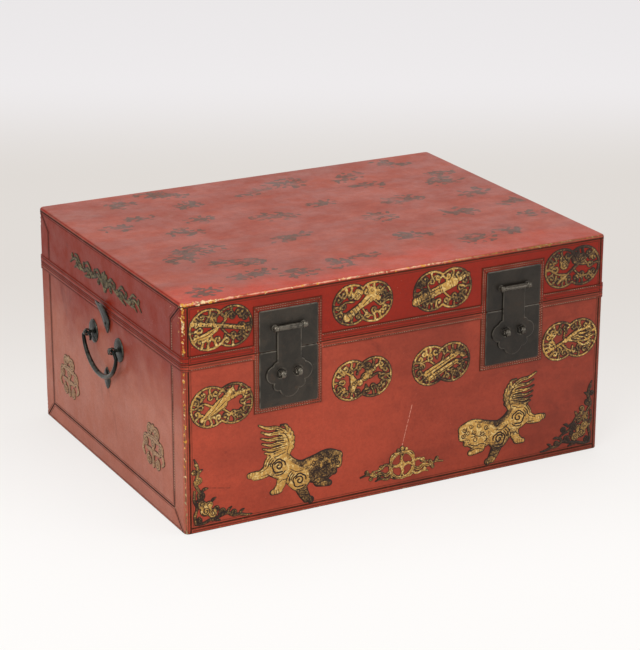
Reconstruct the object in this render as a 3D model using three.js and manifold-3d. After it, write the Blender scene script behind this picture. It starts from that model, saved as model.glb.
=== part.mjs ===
import * as THREE from "three";
import { mergeVertices } from "three/addons/utils/BufferGeometryUtils.js";
import Module from "manifold-3d";

// A lacquered leather chest. A wooden carcass, five boards below and five in the lid, is covered with red
// leather, hinged at the back, closed by two iron hasps and lifted by two iron bail handles. Raised gilt
// ornaments lie on the leather. Millimetres, +Z up, the front faces -Y, and the origin is the middle of
// the underside.

const wasm = await Module();
wasm.setup();

// Overall sizes of the covered case
const WIDTH = 660;
const DEPTH = 500;
const BASE_HEIGHT = 242;
const LID_HEIGHT = 84;
const CORNER_RADIUS = 7;
const TOP_EDGE_RADIUS = 4;

// Walls and clearances
const BOARD = 11;
const LEATHER = 2;
const SEAT = 0.3; // between pieces that lie on each other
const PARTING = 0.3; // between the closed lid and the base

// Leather seams, measured from the edges of the case
const FRONT_SEAM = 8;
const SIDE_SEAM = 35;
const BOTTOM_SEAM_FRONT = 8;
const BOTTOM_SEAM_SIDE = 28;
const LID_EDGE_STRIP = 3; // strip that joins the corner strips under the turned-down top sheet

// Leather bindings round the rims, with a tab behind each lock plate
const BINDING = 1.2;
const LID_BINDING_HEIGHT = 11.5;
const BASE_BINDING_HEIGHT = 9.5;
const TAB_MARGIN = 7;

// Lock plates
const LOCK_WIDTH = 88;
const LOCK_ABOVE = 58; // above the joint, on the lid
const LOCK_BELOW = 80; // below the joint, on the base
const LOCK_THICKNESS = 1.6;
const LOCK_CORNER = 3;
const LOCK_SPLIT = 0.5; // half the slit between the two plates
const LOCK_EDGE = 110; // from the side of the case to the plates

// Hasp and its rod, measured from the front of the lock plates
const ROD_RISE = 32; // above the joint
const ROD_RADIUS = 1.9;
const ROD_STANDOFF = 4.9;
const ROD_LENGTH = 63;
const ROD_OVERHANG = 1; // past its end eyes
const ROD_EYE_RADIUS = 4.2;
const ROD_EYE_WIDTH = 6;
const RUNNING = 0.4; // round every moving rod and bore
const ROLL_RADIUS = 3.8;
const HASP_THICKNESS = 1.7;
const HASP_STANDOFF = 0.6;
const STRAP_WIDTH = 36;
const HEAD_BELOW_EYES = 2; // from the eyes to the middle of the cloud head

// Eye staples that pass through the hasp and take a padlock bar
const EYE_SPACING = 25;
const EYE_DROP = 33;
const EYE_RADIUS = 5.6;
const EYE_BORE = 3.2;
const EYE_WIDTH = 6;
const EYE_STANDOFF = 0.6; // from the plate to the ring
const EYE_COLLAR = 1.2;
const EYE_PLAY = 1.2; // round the eye in its hole in the hasp

// Bail handles on the sides, measured from the leather
const HANDLE_BACKSET = 5; // the handles sit this far behind the middle of the side
const HANDLE_DROP = 46; // from the joint to the middle of the eyes
const POST_SPACING = 90;
const BAIL_REACH = 11;
const BAIL_SHOULDER = 14; // from the eye to the widest place of the bail
const BAIL_DROP = 49;
const BAIL_RADIUS = 3.4;
const BAIL_END_RADIUS = 2.2;
const BAIL_EYE_RADIUS = 5.4;
const BAIL_EYE_WIDTH = 4;
const BAIL_PLAY = 1; // round the bail's ends in their eyes
const BAIL_CURL = { radius: 4.6, turn: 0.75 * Math.PI, thinning: 0.85, gap: 1.5 };
const POST_NECK_RADIUS = 2.4;
const POST_LEAF = { halfWidth: 14.5, halfHeight: 17.5, rise: 1.2 };
const STRIKE_LEAF = { halfWidth: 10.5, halfHeight: 16.5, rise: 1.6 };
const LEAF_EDGE = 0.9;
const STRIKE_DROP = 102;
const TONGUE = { halfWidth: 13, below: 30, above: 10, thickness: 1.8, flare: 10, rib: 1.4, tip: 0.8 };
const NAIL_RADIUS = 2.2;

// Hinges at the back
const HINGE_PLACE = 190;
const HINGE_WIDTH = 64;
const HINGE_LEAF = 30;
const HINGE_LEAF_THICKNESS = 1.5;
const KNUCKLE_RADIUS = 4;
const PIN_RADIUS = 2;
const KNUCKLE_GAP = 0.4;
const KNUCKLE_STEP = 0.5; // from the knuckle to its leaf

// Raised ornaments
const RELIEF = 1.8;
const MEDALLION_DROP = 64.5; // from the joint to the middle of the lower medallions
const MEDALLION_SIDE_GAP = 1;
const MEDALLION_END_GAP = 3.2;
const MEDALLION_DRAWING = { width: 93, height: 57, lobe: 28.5, rim: 5.2 };
const FRIEZE_DRAWING = { width: 644, height: 137 };
const FRIEZE_GAP = 11; // under the lock tabs
const LION_X = 166;
const LION_Z = 57;
const BALL_X = 2;
const BALL_Z = 30;
const SCROLL_INSET = 2; // from the seam to the corner scrolls
const SIDE_CLOUD_PLACE = 100; // from the front and back edges of the side
const SIDE_CLOUD_HEIGHT = 91;
const LID_CLOUD_LENGTH = 253;
const LID_CLOUD_RISE = 41;
const GLUE_RADIUS = 5; // of the glue that holds an ornament on its panel

// Worked out from the sizes above
const HEIGHT = BASE_HEIGHT + LID_HEIGHT;
const BASE_TOP = BASE_HEIGHT - PARTING / 2;
const LID_BOTTOM = BASE_HEIGHT + PARTING / 2;
const SKIN = LEATHER + SEAT; // from the outside of the leather to the wood
const WALL = SKIN + BOARD; // from the outside of the leather to the inside of the box
const BINDING_FACE = SEAT + BINDING;
const PLATE_BACK = BINDING_FACE + SEAT;
const PLATE_FACE = PLATE_BACK + LOCK_THICKNESS;
const BASE_RIM = BASE_TOP - BINDING - SEAT; // top of the boards and panels below the binding
const LID_RIM = LID_BOTTOM + BINDING + SEAT;
const LOCK_X = WIDTH / 2 - LOCK_EDGE - LOCK_WIDTH / 2;
const ROD_Z = BASE_HEIGHT + ROD_RISE;
const ROD_Y = -(PLATE_FACE + ROD_STANDOFF);
const EYE_Z = BASE_HEIGHT - EYE_DROP;
const EYE_Y = -(PLATE_FACE + EYE_STANDOFF + EYE_RADIUS);
const HASP_HOLE = EYE_RADIUS + EYE_PLAY;
const HANDLE_Z = BASE_HEIGHT - HANDLE_DROP;
const STRIKE_Z = BASE_HEIGHT - STRIKE_DROP;
const BAIL_HALF_WIDTH = POST_SPACING / 2 + BAIL_SHOULDER;
const HINGE_AXIS = PLATE_BACK + KNUCKLE_RADIUS;
const FRONT_X = WIDTH / 2 - FRONT_SEAM;
const SIDE_Y = DEPTH / 2 - SIDE_SEAM;
const FLOOR_TOP = SKIN + BOARD;
const FRONT_PANEL_BOTTOM = Math.max(BOTTOM_SEAM_FRONT, SKIN);
const LID_SKIN_TOP = HEIGHT - TOP_EDGE_RADIUS - SEAT;
const LID_PANEL_TOP = LID_SKIN_TOP - LID_EDGE_STRIP;
const TAB_BOTTOM = BASE_HEIGHT - LOCK_BELOW - TAB_MARGIN;
const TAB_TOP = BASE_HEIGHT + LOCK_ABOVE + TAB_MARGIN;

// Facets of round shapes: a curve is drawn with twice its number of steps
const CORNER_STEPS = 2;
const TINY_RADIUS = 0.01;
const ROUND_STEPS = 6; // of a round bar or bore

const materials = {
  leather: new THREE.MeshStandardMaterial({ color: 0xa53e30, roughness: 0.5, metalness: 0 }),
  wood: new THREE.MeshStandardMaterial({ color: 0x8a6440, roughness: 0.8, metalness: 0 }),
  iron: new THREE.MeshStandardMaterial({ color: 0x3a3c37, roughness: 0.55, metalness: 0.7 }),
  gilt: new THREE.MeshStandardMaterial({ color: 0xb9924a, roughness: 0.5, metalness: 0.3 }),
};

// Solids: a closed three.js geometry becomes a solid that can be joined and cut

function solid(geometry) {
  const bare = geometry.index ? geometry.toNonIndexed() : geometry.clone();
  bare.deleteAttribute("normal");
  bare.deleteAttribute("uv");
  const merged = mergeVertices(bare, 1e-4);
  const triVerts = new Uint32Array(merged.index.array);
  const make = () =>
    new wasm.Manifold(
      new wasm.Mesh({ numProp: 3, vertProperties: merged.attributes.position.array, triVerts }),
    );
  const made = make();
  if (made.volume() > 0) return made;
  for (let i = 0; i < triVerts.length; i += 3) {
    [triVerts[i + 1], triVerts[i + 2]] = [triVerts[i + 2], triVerts[i + 1]];
  }
  return make();
}

const join = (...pieces) => pieces.flat(Infinity).reduce((whole, piece) => whole.add(piece));

const cut = (whole, ...pieces) =>
  pieces.flat(Infinity).reduce((rest, piece) => rest.subtract(piece), whole);

// Mesh of a solid, its flat faces freed of the edges that joining leaves in them
function meshOf(name, body, material) {
  const { numProp, numVert, vertProperties, triVerts } = body.asOriginal().simplify(0.001).getMesh();
  const positions = new Float32Array(numVert * 3);
  for (let i = 0; i < numVert; i += 1) {
    positions.set(vertProperties.subarray(i * numProp, i * numProp + 3), i * 3);
  }
  const geometry = new THREE.BufferGeometry()
    .setAttribute("position", new THREE.BufferAttribute(positions, 3))
    .setIndex(new THREE.BufferAttribute(triVerts, 1));
  geometry.computeVertexNormals();
  const mesh = new THREE.Mesh(geometry, material);
  mesh.name = name;
  return mesh;
}

// Box between two corners
function block([x0, y0, z0], [x1, y1, z1]) {
  const box = new THREE.BoxGeometry(x1 - x0, y1 - y0, z1 - z0);
  return solid(box.translate((x0 + x1) / 2, (y0 + y1) / 2, (z0 + z1) / 2));
}

function roundedOutline(width, depth, radius) {
  const x = width / 2 - radius;
  const y = depth / 2 - radius;
  const outline = new THREE.Shape();
  outline.absarc(x, y, radius, 0, Math.PI / 2);
  outline.absarc(-x, y, radius, Math.PI / 2, Math.PI);
  outline.absarc(-x, -y, radius, Math.PI, 1.5 * Math.PI);
  outline.absarc(x, -y, radius, 1.5 * Math.PI, 2 * Math.PI);
  return outline;
}

// Plan of the case, drawn in from its outside by inset
const caseOutline = (inset) =>
  roundedOutline(WIDTH - 2 * inset, DEPTH - 2 * inset, CORNER_RADIUS - inset);

function casePrism(inset, z0, z1) {
  const prism = new THREE.ExtrudeGeometry(caseOutline(inset), {
    depth: z1 - z0,
    bevelEnabled: false,
    curveSegments: CORNER_STEPS,
  });
  return solid(prism.translate(0, 0, z0));
}

const caseRing = (inset, z) =>
  caseOutline(inset)
    .getPoints(CORNER_STEPS)
    .slice(0, -1)
    .map((p) => new THREE.Vector3(p.x, p.y, z));

// The open inside of the box, from z0 to z1
const hollow = (z0, z1) =>
  block([WALL - WIDTH / 2, WALL - DEPTH / 2, z0], [WIDTH / 2 - WALL, DEPTH / 2 - WALL, z1]);

// Closed skin through rings of points: neighbouring rings are joined, and the two ends are capped
function loft(rings) {
  const count = rings[0].length;
  const points = rings.flat();
  const middle = (ring) =>
    ring.reduce((sum, p) => sum.add(p), new THREE.Vector3()).divideScalar(ring.length);
  points.push(middle(rings[0]), middle(rings.at(-1)));
  const first = points.length - 2;
  const last = points.length - 1;
  const end = (rings.length - 1) * count;
  const index = [];
  for (let i = 0; i < count; i += 1) {
    const j = (i + 1) % count;
    index.push(first, j, i, last, end + i, end + j);
    for (let r = 0; r < rings.length - 1; r += 1) {
      const a = r * count;
      const b = a + count;
      index.push(a + i, a + j, b + j, a + i, b + j, b + i);
    }
  }
  return solid(new THREE.BufferGeometry().setFromPoints(points).setIndex(index));
}

// Face frame: x to the right, z up and -y out of the face. An outline drawn in x and z becomes a slab
// between two distances from the face.
function slab(outline, back, front, curveSegments = 4) {
  const depth = front - back;
  const made = new THREE.ExtrudeGeometry(outline, { depth, bevelEnabled: false, curveSegments });
  return solid(made.rotateX(Math.PI / 2).translate(0, -back, 0));
}

// An outline drawn in y and z, carried across the face from x0 to x1
function across(outline, x0, x1, curveSegments = ROUND_STEPS) {
  const depth = x1 - x0;
  const made = new THREE.ExtrudeGeometry(outline, { depth, bevelEnabled: false, curveSegments });
  return solid(made.rotateX(Math.PI / 2).rotateZ(Math.PI / 2).translate(x0, 0, 0));
}

function circle(x, y, radius, bore = 0) {
  const outline = new THREE.Shape();
  outline.absarc(x, y, radius, 0, 2 * Math.PI);
  if (bore) outline.holes.push(new THREE.Path().absarc(x, y, bore, 0, 2 * Math.PI, true));
  return outline;
}

// Round bar standing out of the face at x, z
const stud = (x, z, radius, back, front) => slab(circle(x, z, radius), back, front);

// Plate with rounded corners between two corners of the face
function plateOutline(x0, z0, x1, z1, radius) {
  const outline = new THREE.Shape();
  outline.absarc(x1 - radius, z1 - radius, radius, 0, Math.PI / 2);
  outline.absarc(x0 + radius, z1 - radius, radius, Math.PI / 2, Math.PI);
  outline.absarc(x0 + radius, z0 + radius, radius, Math.PI, 1.5 * Math.PI);
  outline.absarc(x1 - radius, z0 + radius, radius, 1.5 * Math.PI, 2 * Math.PI);
  return outline;
}

// Carcass: four walls cut from one rounded ring, and a flat board that closes them

function wallBoards(z0, z1, prefix) {
  const ring = cut(casePrism(SKIN, z0, z1), hollow(z0 - 1, z1 + 1));
  const x = WIDTH / 2;
  const y = DEPTH / 2;
  const inner = y - WALL;
  const wall = (low, high) => ring.intersect(block(low, high));
  return [
    [`${prefix}_front_board`, wall([-x, -y, z0 - 1], [x, -inner, z1 + 1])],
    [`${prefix}_back_board`, wall([-x, inner, z0 - 1], [x, y, z1 + 1])],
    [`${prefix}_left_board`, wall([-x, SEAT - inner, z0 - 1], [0, inner - SEAT, z1 + 1])],
    [`${prefix}_right_board`, wall([0, SEAT - inner, z0 - 1], [x, inner - SEAT, z1 + 1])],
  ];
}

// The top board has its upper edge planed off, so that the leather turns over it in a round edge
function topBoard() {
  const top = HEIGHT - SKIN;
  return loft([
    caseRing(SKIN, top - BOARD),
    caseRing(SKIN, LID_SKIN_TOP),
    caseRing(SKIN + TOP_EDGE_RADIUS - LEATHER, top),
  ]);
}

// Leather skin: flat panels let into a wrap of strips and the back skin

// Windows for the front and side panels, with a seam gap round each panel
function skinWindows([frontLow, frontHigh], [sideLow, sideHigh]) {
  const x = WIDTH / 2 + 1;
  const y = DEPTH / 2 + 1;
  const halfX = FRONT_X + SEAT;
  const halfY = SIDE_Y + SEAT;
  return [
    block([-halfX, -y, frontLow - SEAT], [halfX, WALL - y, frontHigh + SEAT]),
    block([-x, -halfY, sideLow - SEAT], [WALL - x, halfY, sideHigh + SEAT]),
    block([x - WALL, -halfY, sideLow - SEAT], [x, halfY, sideHigh + SEAT]),
  ];
}

function edgeSkin(z0, z1, frontSpan, sideSpan) {
  const shell = cut(casePrism(0, z0, z1), casePrism(LEATHER, z0 - 1, z1 + 1));
  return cut(shell, skinWindows(frontSpan, sideSpan));
}

// Flat panel in a face frame whose plane is the outside of the leather
const panel = (halfLength, z0, z1) =>
  slab(plateOutline(-halfLength, z0, halfLength, z1, TINY_RADIUS), -LEATHER, 0, 1);

// The top sheet turns down over the edge of the lid
function topLeather() {
  const low = HEIGHT - TOP_EDGE_RADIUS;
  const steps = 3;
  const rings = [caseRing(0, low)];
  for (let i = 1; i <= steps; i += 1) {
    const angle = (i / steps) * (Math.PI / 2);
    rings.push(
      caseRing(TOP_EDGE_RADIUS * (1 - Math.cos(angle)), low + TOP_EDGE_RADIUS * Math.sin(angle)),
    );
  }
  const inside = loft([
    caseRing(LEATHER, low - 1),
    caseRing(LEATHER, low),
    caseRing(TOP_EDGE_RADIUS, HEIGHT - LEATHER),
  ]);
  return cut(loft(rings), inside);
}

// Binding: a band outside the leather that turns over the rim of the boards, with the lock tabs
function binding(rim, bandEnd, tabEnd) {
  const up = Math.sign(bandEnd - rim);
  const [z0, z1] = up > 0 ? [rim, bandEnd] : [bandEnd, rim];
  const [leatherLow, leatherHigh] =
    up > 0 ? [rim + BINDING, bandEnd + 1] : [bandEnd - 1, rim - BINDING];
  const band = cut(
    casePrism(-BINDING_FACE, z0, z1),
    casePrism(-SEAT, leatherLow, leatherHigh),
    hollow(z0 - 1, z1 + 1),
  );
  const face = DEPTH / 2;
  const tabs = [-LOCK_X, LOCK_X].map((x) => {
    const half = LOCK_WIDTH / 2 + TAB_MARGIN;
    const [low, high] = up > 0 ? [rim, tabEnd] : [tabEnd, rim];
    return block([x - half, -face - BINDING_FACE, low], [x + half, -face - SEAT, high]);
  });
  return join(band, tabs);
}

// Lock set, in a frame on the front face with x = 0 at the middle of the plates

function lockPlate(z0, z1) {
  const outline = plateOutline(-LOCK_WIDTH / 2, z0, LOCK_WIDTH / 2, z1, LOCK_CORNER);
  return slab(outline, PLATE_BACK, PLATE_FACE, CORNER_STEPS);
}

const upperPlate = () => lockPlate(BASE_HEIGHT + LOCK_SPLIT, BASE_HEIGHT + LOCK_ABOVE);

const lowerPlate = () => lockPlate(BASE_HEIGHT - LOCK_BELOW, BASE_HEIGHT - LOCK_SPLIT);

// The rod is held by an eye at each end, and each eye stands on a round foot
function haspRod() {
  const half = ROD_LENGTH / 2;
  const eyeX = half - ROD_OVERHANG - ROD_EYE_WIDTH / 2;
  const eyes = [-eyeX, eyeX].map((x) => [
    across(circle(ROD_Y, ROD_Z, ROD_EYE_RADIUS), x - ROD_EYE_WIDTH / 2, x + ROD_EYE_WIDTH / 2),
    stud(x, ROD_Z, ROD_EYE_WIDTH / 2, PLATE_FACE + SEAT, -ROD_Y),
  ]);
  return join(across(circle(ROD_Y, ROD_Z, ROD_RADIUS), -half, half), eyes);
}

// The hasp: a roll round the rod, a flat strap and a cloud-shaped head with two holes
function hasp() {
  const back = PLATE_FACE + HASP_STANDOFF;
  const front = back + HASP_THICKNESS;
  const headZ = EYE_Z - HEAD_BELOW_EYES;
  const rollHalf = ROD_LENGTH / 2 - ROD_OVERHANG - ROD_EYE_WIDTH - RUNNING;
  const bore = ROD_RADIUS + RUNNING;
  const lobe = (x, z, r) => slab(circle(x, headZ + z, r), back, front, r > 10 ? 7 : 5);
  const mirrored = (x, z, r) => [lobe(-x, z, r), lobe(x, z, r)];
  const head = [
    lobe(0, -2, 20),
    lobe(0, -18.5, 15),
    mirrored(21.5, 1, 13),
    mirrored(17.5, 12, 7),
    mirrored(16, -15, 8),
  ];
  const half = STRAP_WIDTH / 2;
  const strap = slab(plateOutline(-half, headZ, half, ROD_Z, TINY_RADIUS), back, front, 1);
  const holes = [-EYE_SPACING / 2, EYE_SPACING / 2].map((x) =>
    slab(circle(x, EYE_Z, HASP_HOLE), back - 1, front + 1, 8),
  );
  const roll = across(circle(ROD_Y, ROD_Z, ROLL_RADIUS), -rollHalf, rollHalf);
  const rodHole = across(circle(ROD_Y, ROD_Z, bore), -rollHalf - 1, rollHalf + 1);
  return cut(join(roll, strap, head), holes, rodHole);
}

// An eye for the padlock bar, its bore across the face, on a round collar
function eyeStaple() {
  const ring = across(circle(EYE_Y, EYE_Z, EYE_RADIUS, EYE_BORE), -EYE_WIDTH / 2, EYE_WIDTH / 2);
  const foot = PLATE_FACE + SEAT;
  return join(ring, stud(0, EYE_Z, EYE_RADIUS - EYE_STANDOFF, foot, foot + EYE_COLLAR));
}

// Pointed leaf between two arcs, as a ring of points at one distance from the face
function leafRing({ halfWidth, halfHeight }, share, x, z, out) {
  const a = halfWidth * share;
  const h = halfHeight * share;
  const radius = (a * a + h * h) / (2 * a);
  const sweep = Math.asin(h / radius);
  const steps = 5;
  const ring = [];
  [1, -1].forEach((side) => {
    for (let i = 0; i < steps; i += 1) {
      const angle = -sweep + (2 * sweep * i) / steps;
      ring.push(
        new THREE.Vector3(
          x + side * (a - radius + radius * Math.cos(angle)),
          -out,
          z + side * radius * Math.sin(angle),
        ),
      );
    }
  });
  return ring;
}

// Hammered leaf plate, thicker in the middle
const leafPlate = (leaf, z) =>
  loft([
    leafRing(leaf, 1, 0, z, SEAT),
    leafRing(leaf, 1, 0, z, SEAT + LEAF_EDGE),
    leafRing(leaf, 0.55, 0, z, SEAT + LEAF_EDGE + leaf.rise),
  ]);

// Eye post of a bail handle, on its leaf plate
function handlePost() {
  const ring = across(
    circle(-BAIL_REACH, HANDLE_Z, BAIL_EYE_RADIUS, BAIL_END_RADIUS + BAIL_PLAY),
    -BAIL_EYE_WIDTH / 2,
    BAIL_EYE_WIDTH / 2,
  );
  const ringBack = BAIL_REACH - BAIL_EYE_RADIUS;
  const neck = stud(0, HANDLE_Z, POST_NECK_RADIUS, SEAT + LEAF_EDGE / 2, ringBack + 1.2);
  return join(leafPlate(POST_LEAF, HANDLE_Z), neck, ring);
}

// Guide tongue: a ribbed leaf on the base whose upper end bends away from the lid
function guideTongue() {
  const z0 = BASE_HEIGHT - TONGUE.below;
  const length = TONGUE.below + TONGUE.above;
  const bend = TONGUE.below * 0.45; // height at which it leaves the leather
  const steps = 9;
  const rings = [];
  for (let i = 0; i <= steps; i += 1) {
    const t = i / steps;
    const rise = Math.max(0, t * length - bend) / (length - bend);
    const half = TONGUE.tip + (TONGUE.halfWidth - TONGUE.tip) * Math.sin(Math.PI * t) ** 0.75;
    const out = PLATE_BACK + TONGUE.flare * rise ** 1.7;
    const edge = out + TONGUE.thickness;
    const z = z0 + length * t;
    rings.push(
      [
        [-half, out],
        [half, out],
        [half, edge],
        [0, edge + TONGUE.rib * (half / TONGUE.halfWidth)],
        [-half, edge],
      ].map(([x, y]) => new THREE.Vector3(x, -y, z)),
    );
  }
  const nailHead = PLATE_BACK + TONGUE.thickness + TONGUE.rib + 0.8;
  return join(loft(rings), stud(0, z0 + length * 0.3, NAIL_RADIUS, SEAT, nailHead));
}

// The bail: a rod bent in a wide U, thick in the middle, its thin ends run through the eyes and curl up
function bail() {
  const half = POST_SPACING / 2;
  const { radius: curlRadius, turn, thinning, gap } = BAIL_CURL;
  const points = [];
  const add = (x, z, r) => points.push([x, z, r]);
  const inner = half - BAIL_EYE_WIDTH / 2 - curlRadius - gap;
  for (let i = 4; i >= 0; i -= 1) {
    const angle = (i / 4) * turn;
    const rise = curlRadius * (1 - Math.cos(angle));
    add(inner - curlRadius * Math.sin(angle), rise, BAIL_END_RADIUS * thinning);
  }
  add(half, 0, BAIL_END_RADIUS);
  const start = 0.12; // angle at which the bow leaves the eye
  const steps = 9;
  for (let i = 0; i <= steps; i += 1) {
    const angle = start + (Math.PI / 2 - start) * (i / steps);
    const radius = BAIL_END_RADIUS + (BAIL_RADIUS - BAIL_END_RADIUS) * Math.sin(angle);
    add(BAIL_HALF_WIDTH * Math.cos(angle), -BAIL_DROP * Math.sin(angle), radius);
  }
  const mirrored = points.slice(0, -1).map(([x, z, r]) => [-x, z, r]);
  const path = [...points, ...mirrored.reverse()];
  const sides = 7;
  const rings = path.map(([x, z, r], i) => {
    const [x0, z0] = path[Math.max(i - 1, 0)];
    const [x1, z1] = path[Math.min(i + 1, path.length - 1)];
    const length = Math.hypot(x1 - x0, z1 - z0);
    const [nx, nz] = [-(z1 - z0) / length, (x1 - x0) / length];
    return Array.from({ length: sides }, (_, k) => {
      const angle = ((k + 0.5) / sides) * 2 * Math.PI;
      const n = r * Math.cos(angle);
      return new THREE.Vector3(
        x + nx * n,
        -BAIL_REACH + r * Math.sin(angle),
        HANDLE_Z + z + nz * n,
      );
    });
  });
  return loft(rings);
}

// Back hinge in a face frame: two leaves, with the middle knuckle on the lid's leaf

function hingeKnuckle(x0, x1, up) {
  const z = BASE_HEIGHT;
  const edge = z + up * (KNUCKLE_RADIUS + KNUCKLE_STEP);
  const web = block(
    [x0, -PLATE_BACK - HINGE_LEAF_THICKNESS, Math.min(z, edge)],
    [x1, -PLATE_BACK, Math.max(z, edge)],
  );
  return [across(circle(-HINGE_AXIS, z, KNUCKLE_RADIUS), x0, x1), web];
}

function hingeLeaf(up) {
  const near = BASE_HEIGHT + up * (KNUCKLE_RADIUS + KNUCKLE_STEP);
  const far = BASE_HEIGHT + up * HINGE_LEAF;
  const half = HINGE_WIDTH / 2;
  return slab(
    plateOutline(-half, Math.min(near, far), half, Math.max(near, far), LOCK_CORNER),
    PLATE_BACK,
    PLATE_BACK + HINGE_LEAF_THICKNESS,
    CORNER_STEPS,
  );
}

function lowerHinge() {
  const half = HINGE_WIDTH / 2 - LOCK_CORNER;
  const third = half / 3;
  const pin = across(circle(-HINGE_AXIS, BASE_HEIGHT, PIN_RADIUS), -half, half);
  return join(
    hingeLeaf(-1),
    hingeKnuckle(-half, -third, -1),
    hingeKnuckle(third, half, -1),
    pin,
  );
}

function upperHinge() {
  const third = (HINGE_WIDTH / 2 - LOCK_CORNER) / 3 - KNUCKLE_GAP;
  const hole = circle(-HINGE_AXIS, BASE_HEIGHT, PIN_RADIUS + RUNNING);
  const bore = across(hole, -third - 1, third + 1);
  return cut(join(hingeLeaf(1), hingeKnuckle(-third, third, 1)), bore);
}

// Ornament strokes, drawn in x and z and raised from the leather

const raised = (outline, segments = 5) => slab(outline, SEAT, SEAT + RELIEF, segments);

const dot = (x, z, radius) => raised(circle(x, z, radius), Math.min(6, 2 + Math.round(radius / 5)));

// Straight stroke with round ends of two radii
function bar(x0, z0, x1, z1, r0, r1 = r0) {
  const angle = Math.atan2(z1 - z0, x1 - x0);
  const outline = new THREE.Shape();
  outline.absarc(x0, z0, r0, angle + Math.PI / 2, angle + 1.5 * Math.PI);
  outline.absarc(x1, z1, r1, angle - Math.PI / 2, angle + Math.PI / 2);
  return raised(outline, Math.max(r0, r1) > 5 ? 2 : 1);
}

// Curved stroke: path and half width are functions of t from 0 to 1
function stroke(path, halfWidth, steps) {
  const left = [];
  const right = [];
  for (let i = 0; i <= steps; i += 1) {
    const t = i / steps;
    const [x, z] = path(t);
    const [x0, z0] = path(Math.max(0, t - 0.01));
    const [x1, z1] = path(Math.min(1, t + 0.01));
    const length = Math.hypot(x1 - x0, z1 - z0);
    const w = halfWidth(t);
    const nx = (-(z1 - z0) / length) * w;
    const nz = ((x1 - x0) / length) * w;
    left.push(new THREE.Vector2(x + nx, z + nz));
    right.push(new THREE.Vector2(x - nx, z - nz));
  }
  return raised(new THREE.Shape([...left, ...right.reverse()]), 1);
}

// Spiral stroke that starts on radius r0 at angle a0 and winds in to r1
function curl(x, z, r0, r1, a0, turn, width) {
  const place = (t) => {
    const r = r0 + (r1 - r0) * t;
    const a = a0 + turn * t;
    return [x + r * Math.cos(a), z + r * Math.sin(a)];
  };
  return stroke(place, (t) => width * (1 - 0.2 * t), 4);
}

// Tongue of flame or leaf: wide at the root, pointed at the tip, bowed to one side
function flame(x0, z0, x1, z1, width, bow) {
  const [dx, dz] = [x1 - x0, z1 - z0];
  const length = Math.hypot(dx, dz);
  const path = (t) => {
    const side = bow * Math.sin(Math.PI * t);
    return [x0 + dx * t - (dz / length) * side, z0 + dz * t + (dx / length) * side];
  };
  return stroke(path, (t) => width * (1 - t) ** 0.7 + 0.25, 4);
}

// Medallions: two linked roundels with a scrolling ribbon inside, and an emblem across them

function medallionFrame() {
  const { width, height, lobe, rim } = MEDALLION_DRAWING;
  const x = (width - height) / 2;
  const ring = (r) => [-x, x].map((cx) => raised(circle(cx, 0, r), 7));
  const frame = cut(join(ring(lobe)), join(ring(lobe - rim)));
  const scrolls = [-1, 1].flatMap((side) => [
    curl(side * (x + 9), 13, 9, 4, side > 0 ? 0.9 : Math.PI - 0.9, side * 3.6, 1.9),
    curl(side * (x + 9), -13, 9, 4, side > 0 ? -0.9 : Math.PI + 0.9, -side * 3.6, 1.9),
  ]);
  return [frame, scrolls];
}

// Each emblem is a list of strokes that reaches the frame at both ends
const emblems = {
  flute_and_sword: () => [
    bar(-42, 9, 42, -6, 2.6, 2.2),
    bar(-40, -10, -6, 0, 3.6, 2.4),
    bar(-6, 0, 10, 23, 1.6),
  ],
  flower_basket: () => [
    bar(-16, -24, -6, -8, 1.8),
    dot(-3, -2, 8.5),
    bar(-8, -8, 8, 6, 6.5, 8),
    bar(8, 6, 20, 24, 1.8),
    bar(6, 2, 43, 4, 1.8),
    bar(-8, 0, -43, 6, 1.8),
  ],
  banded_tube: () => [
    bar(-40, -8, 12, 6, 5.8),
    bar(12, 6, 26, 23, 1.8),
    bar(6, 4, 30, -22, 1.8),
    bar(-22, -3, -24, 22, 1.6),
  ],
  lotus: () => [
    bar(-22, -24, 16, 8, 1.7),
    bar(16, 8, 26, 23, 6, 2),
    bar(0, -4, 42, -6, 1.6),
    bar(-6, -10, -42, 6, 1.7),
    dot(-12, 6, 6),
    bar(-12, 6, -14, 24, 1.8),
  ],
  fan_and_flute: () => [
    bar(-28, -16, 0, 4, 1.6, 8.5),
    bar(0, 4, 16, 24, 2.2),
    bar(-28, -16, -38, -20, 1.6),
    bar(4, 8, 42, 6, 1.8),
    bar(-2, 8, -40, 10, 1.5),
  ],
  gourd: () => [
    bar(-8, -7, -7, 2, 8.5, 7.5),
    bar(-7, 2, 14, 6, 4, 6),
    bar(14, 6, 28, 22, 2.4, 1.6),
    bar(-8, -8, -14, -25, 2),
    bar(-10, 0, -43, 8, 1.8),
    bar(14, 6, 43, -4, 1.7),
  ],
  castanets: () => [
    bar(-20, -12, 18, 8, 4.2),
    bar(-16, -20, 22, 0, 4),
    bar(-20, -12, -40, -6, 1.8),
    bar(18, 8, 30, 22, 1.8),
    bar(22, 0, 42, -8, 1.6),
  ],
  fly_whisk: () => [
    bar(-38, -14, -6, 0, 1.8),
    bar(-6, 0, 30, 18, 6.5, 2),
    bar(-6, 0, 40, -8, 5, 1.6),
    bar(-8, 0, -12, 24, 1.7),
  ],
};

const medallion = (emblem) => join(medallionFrame(), emblems[emblem]());

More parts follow.
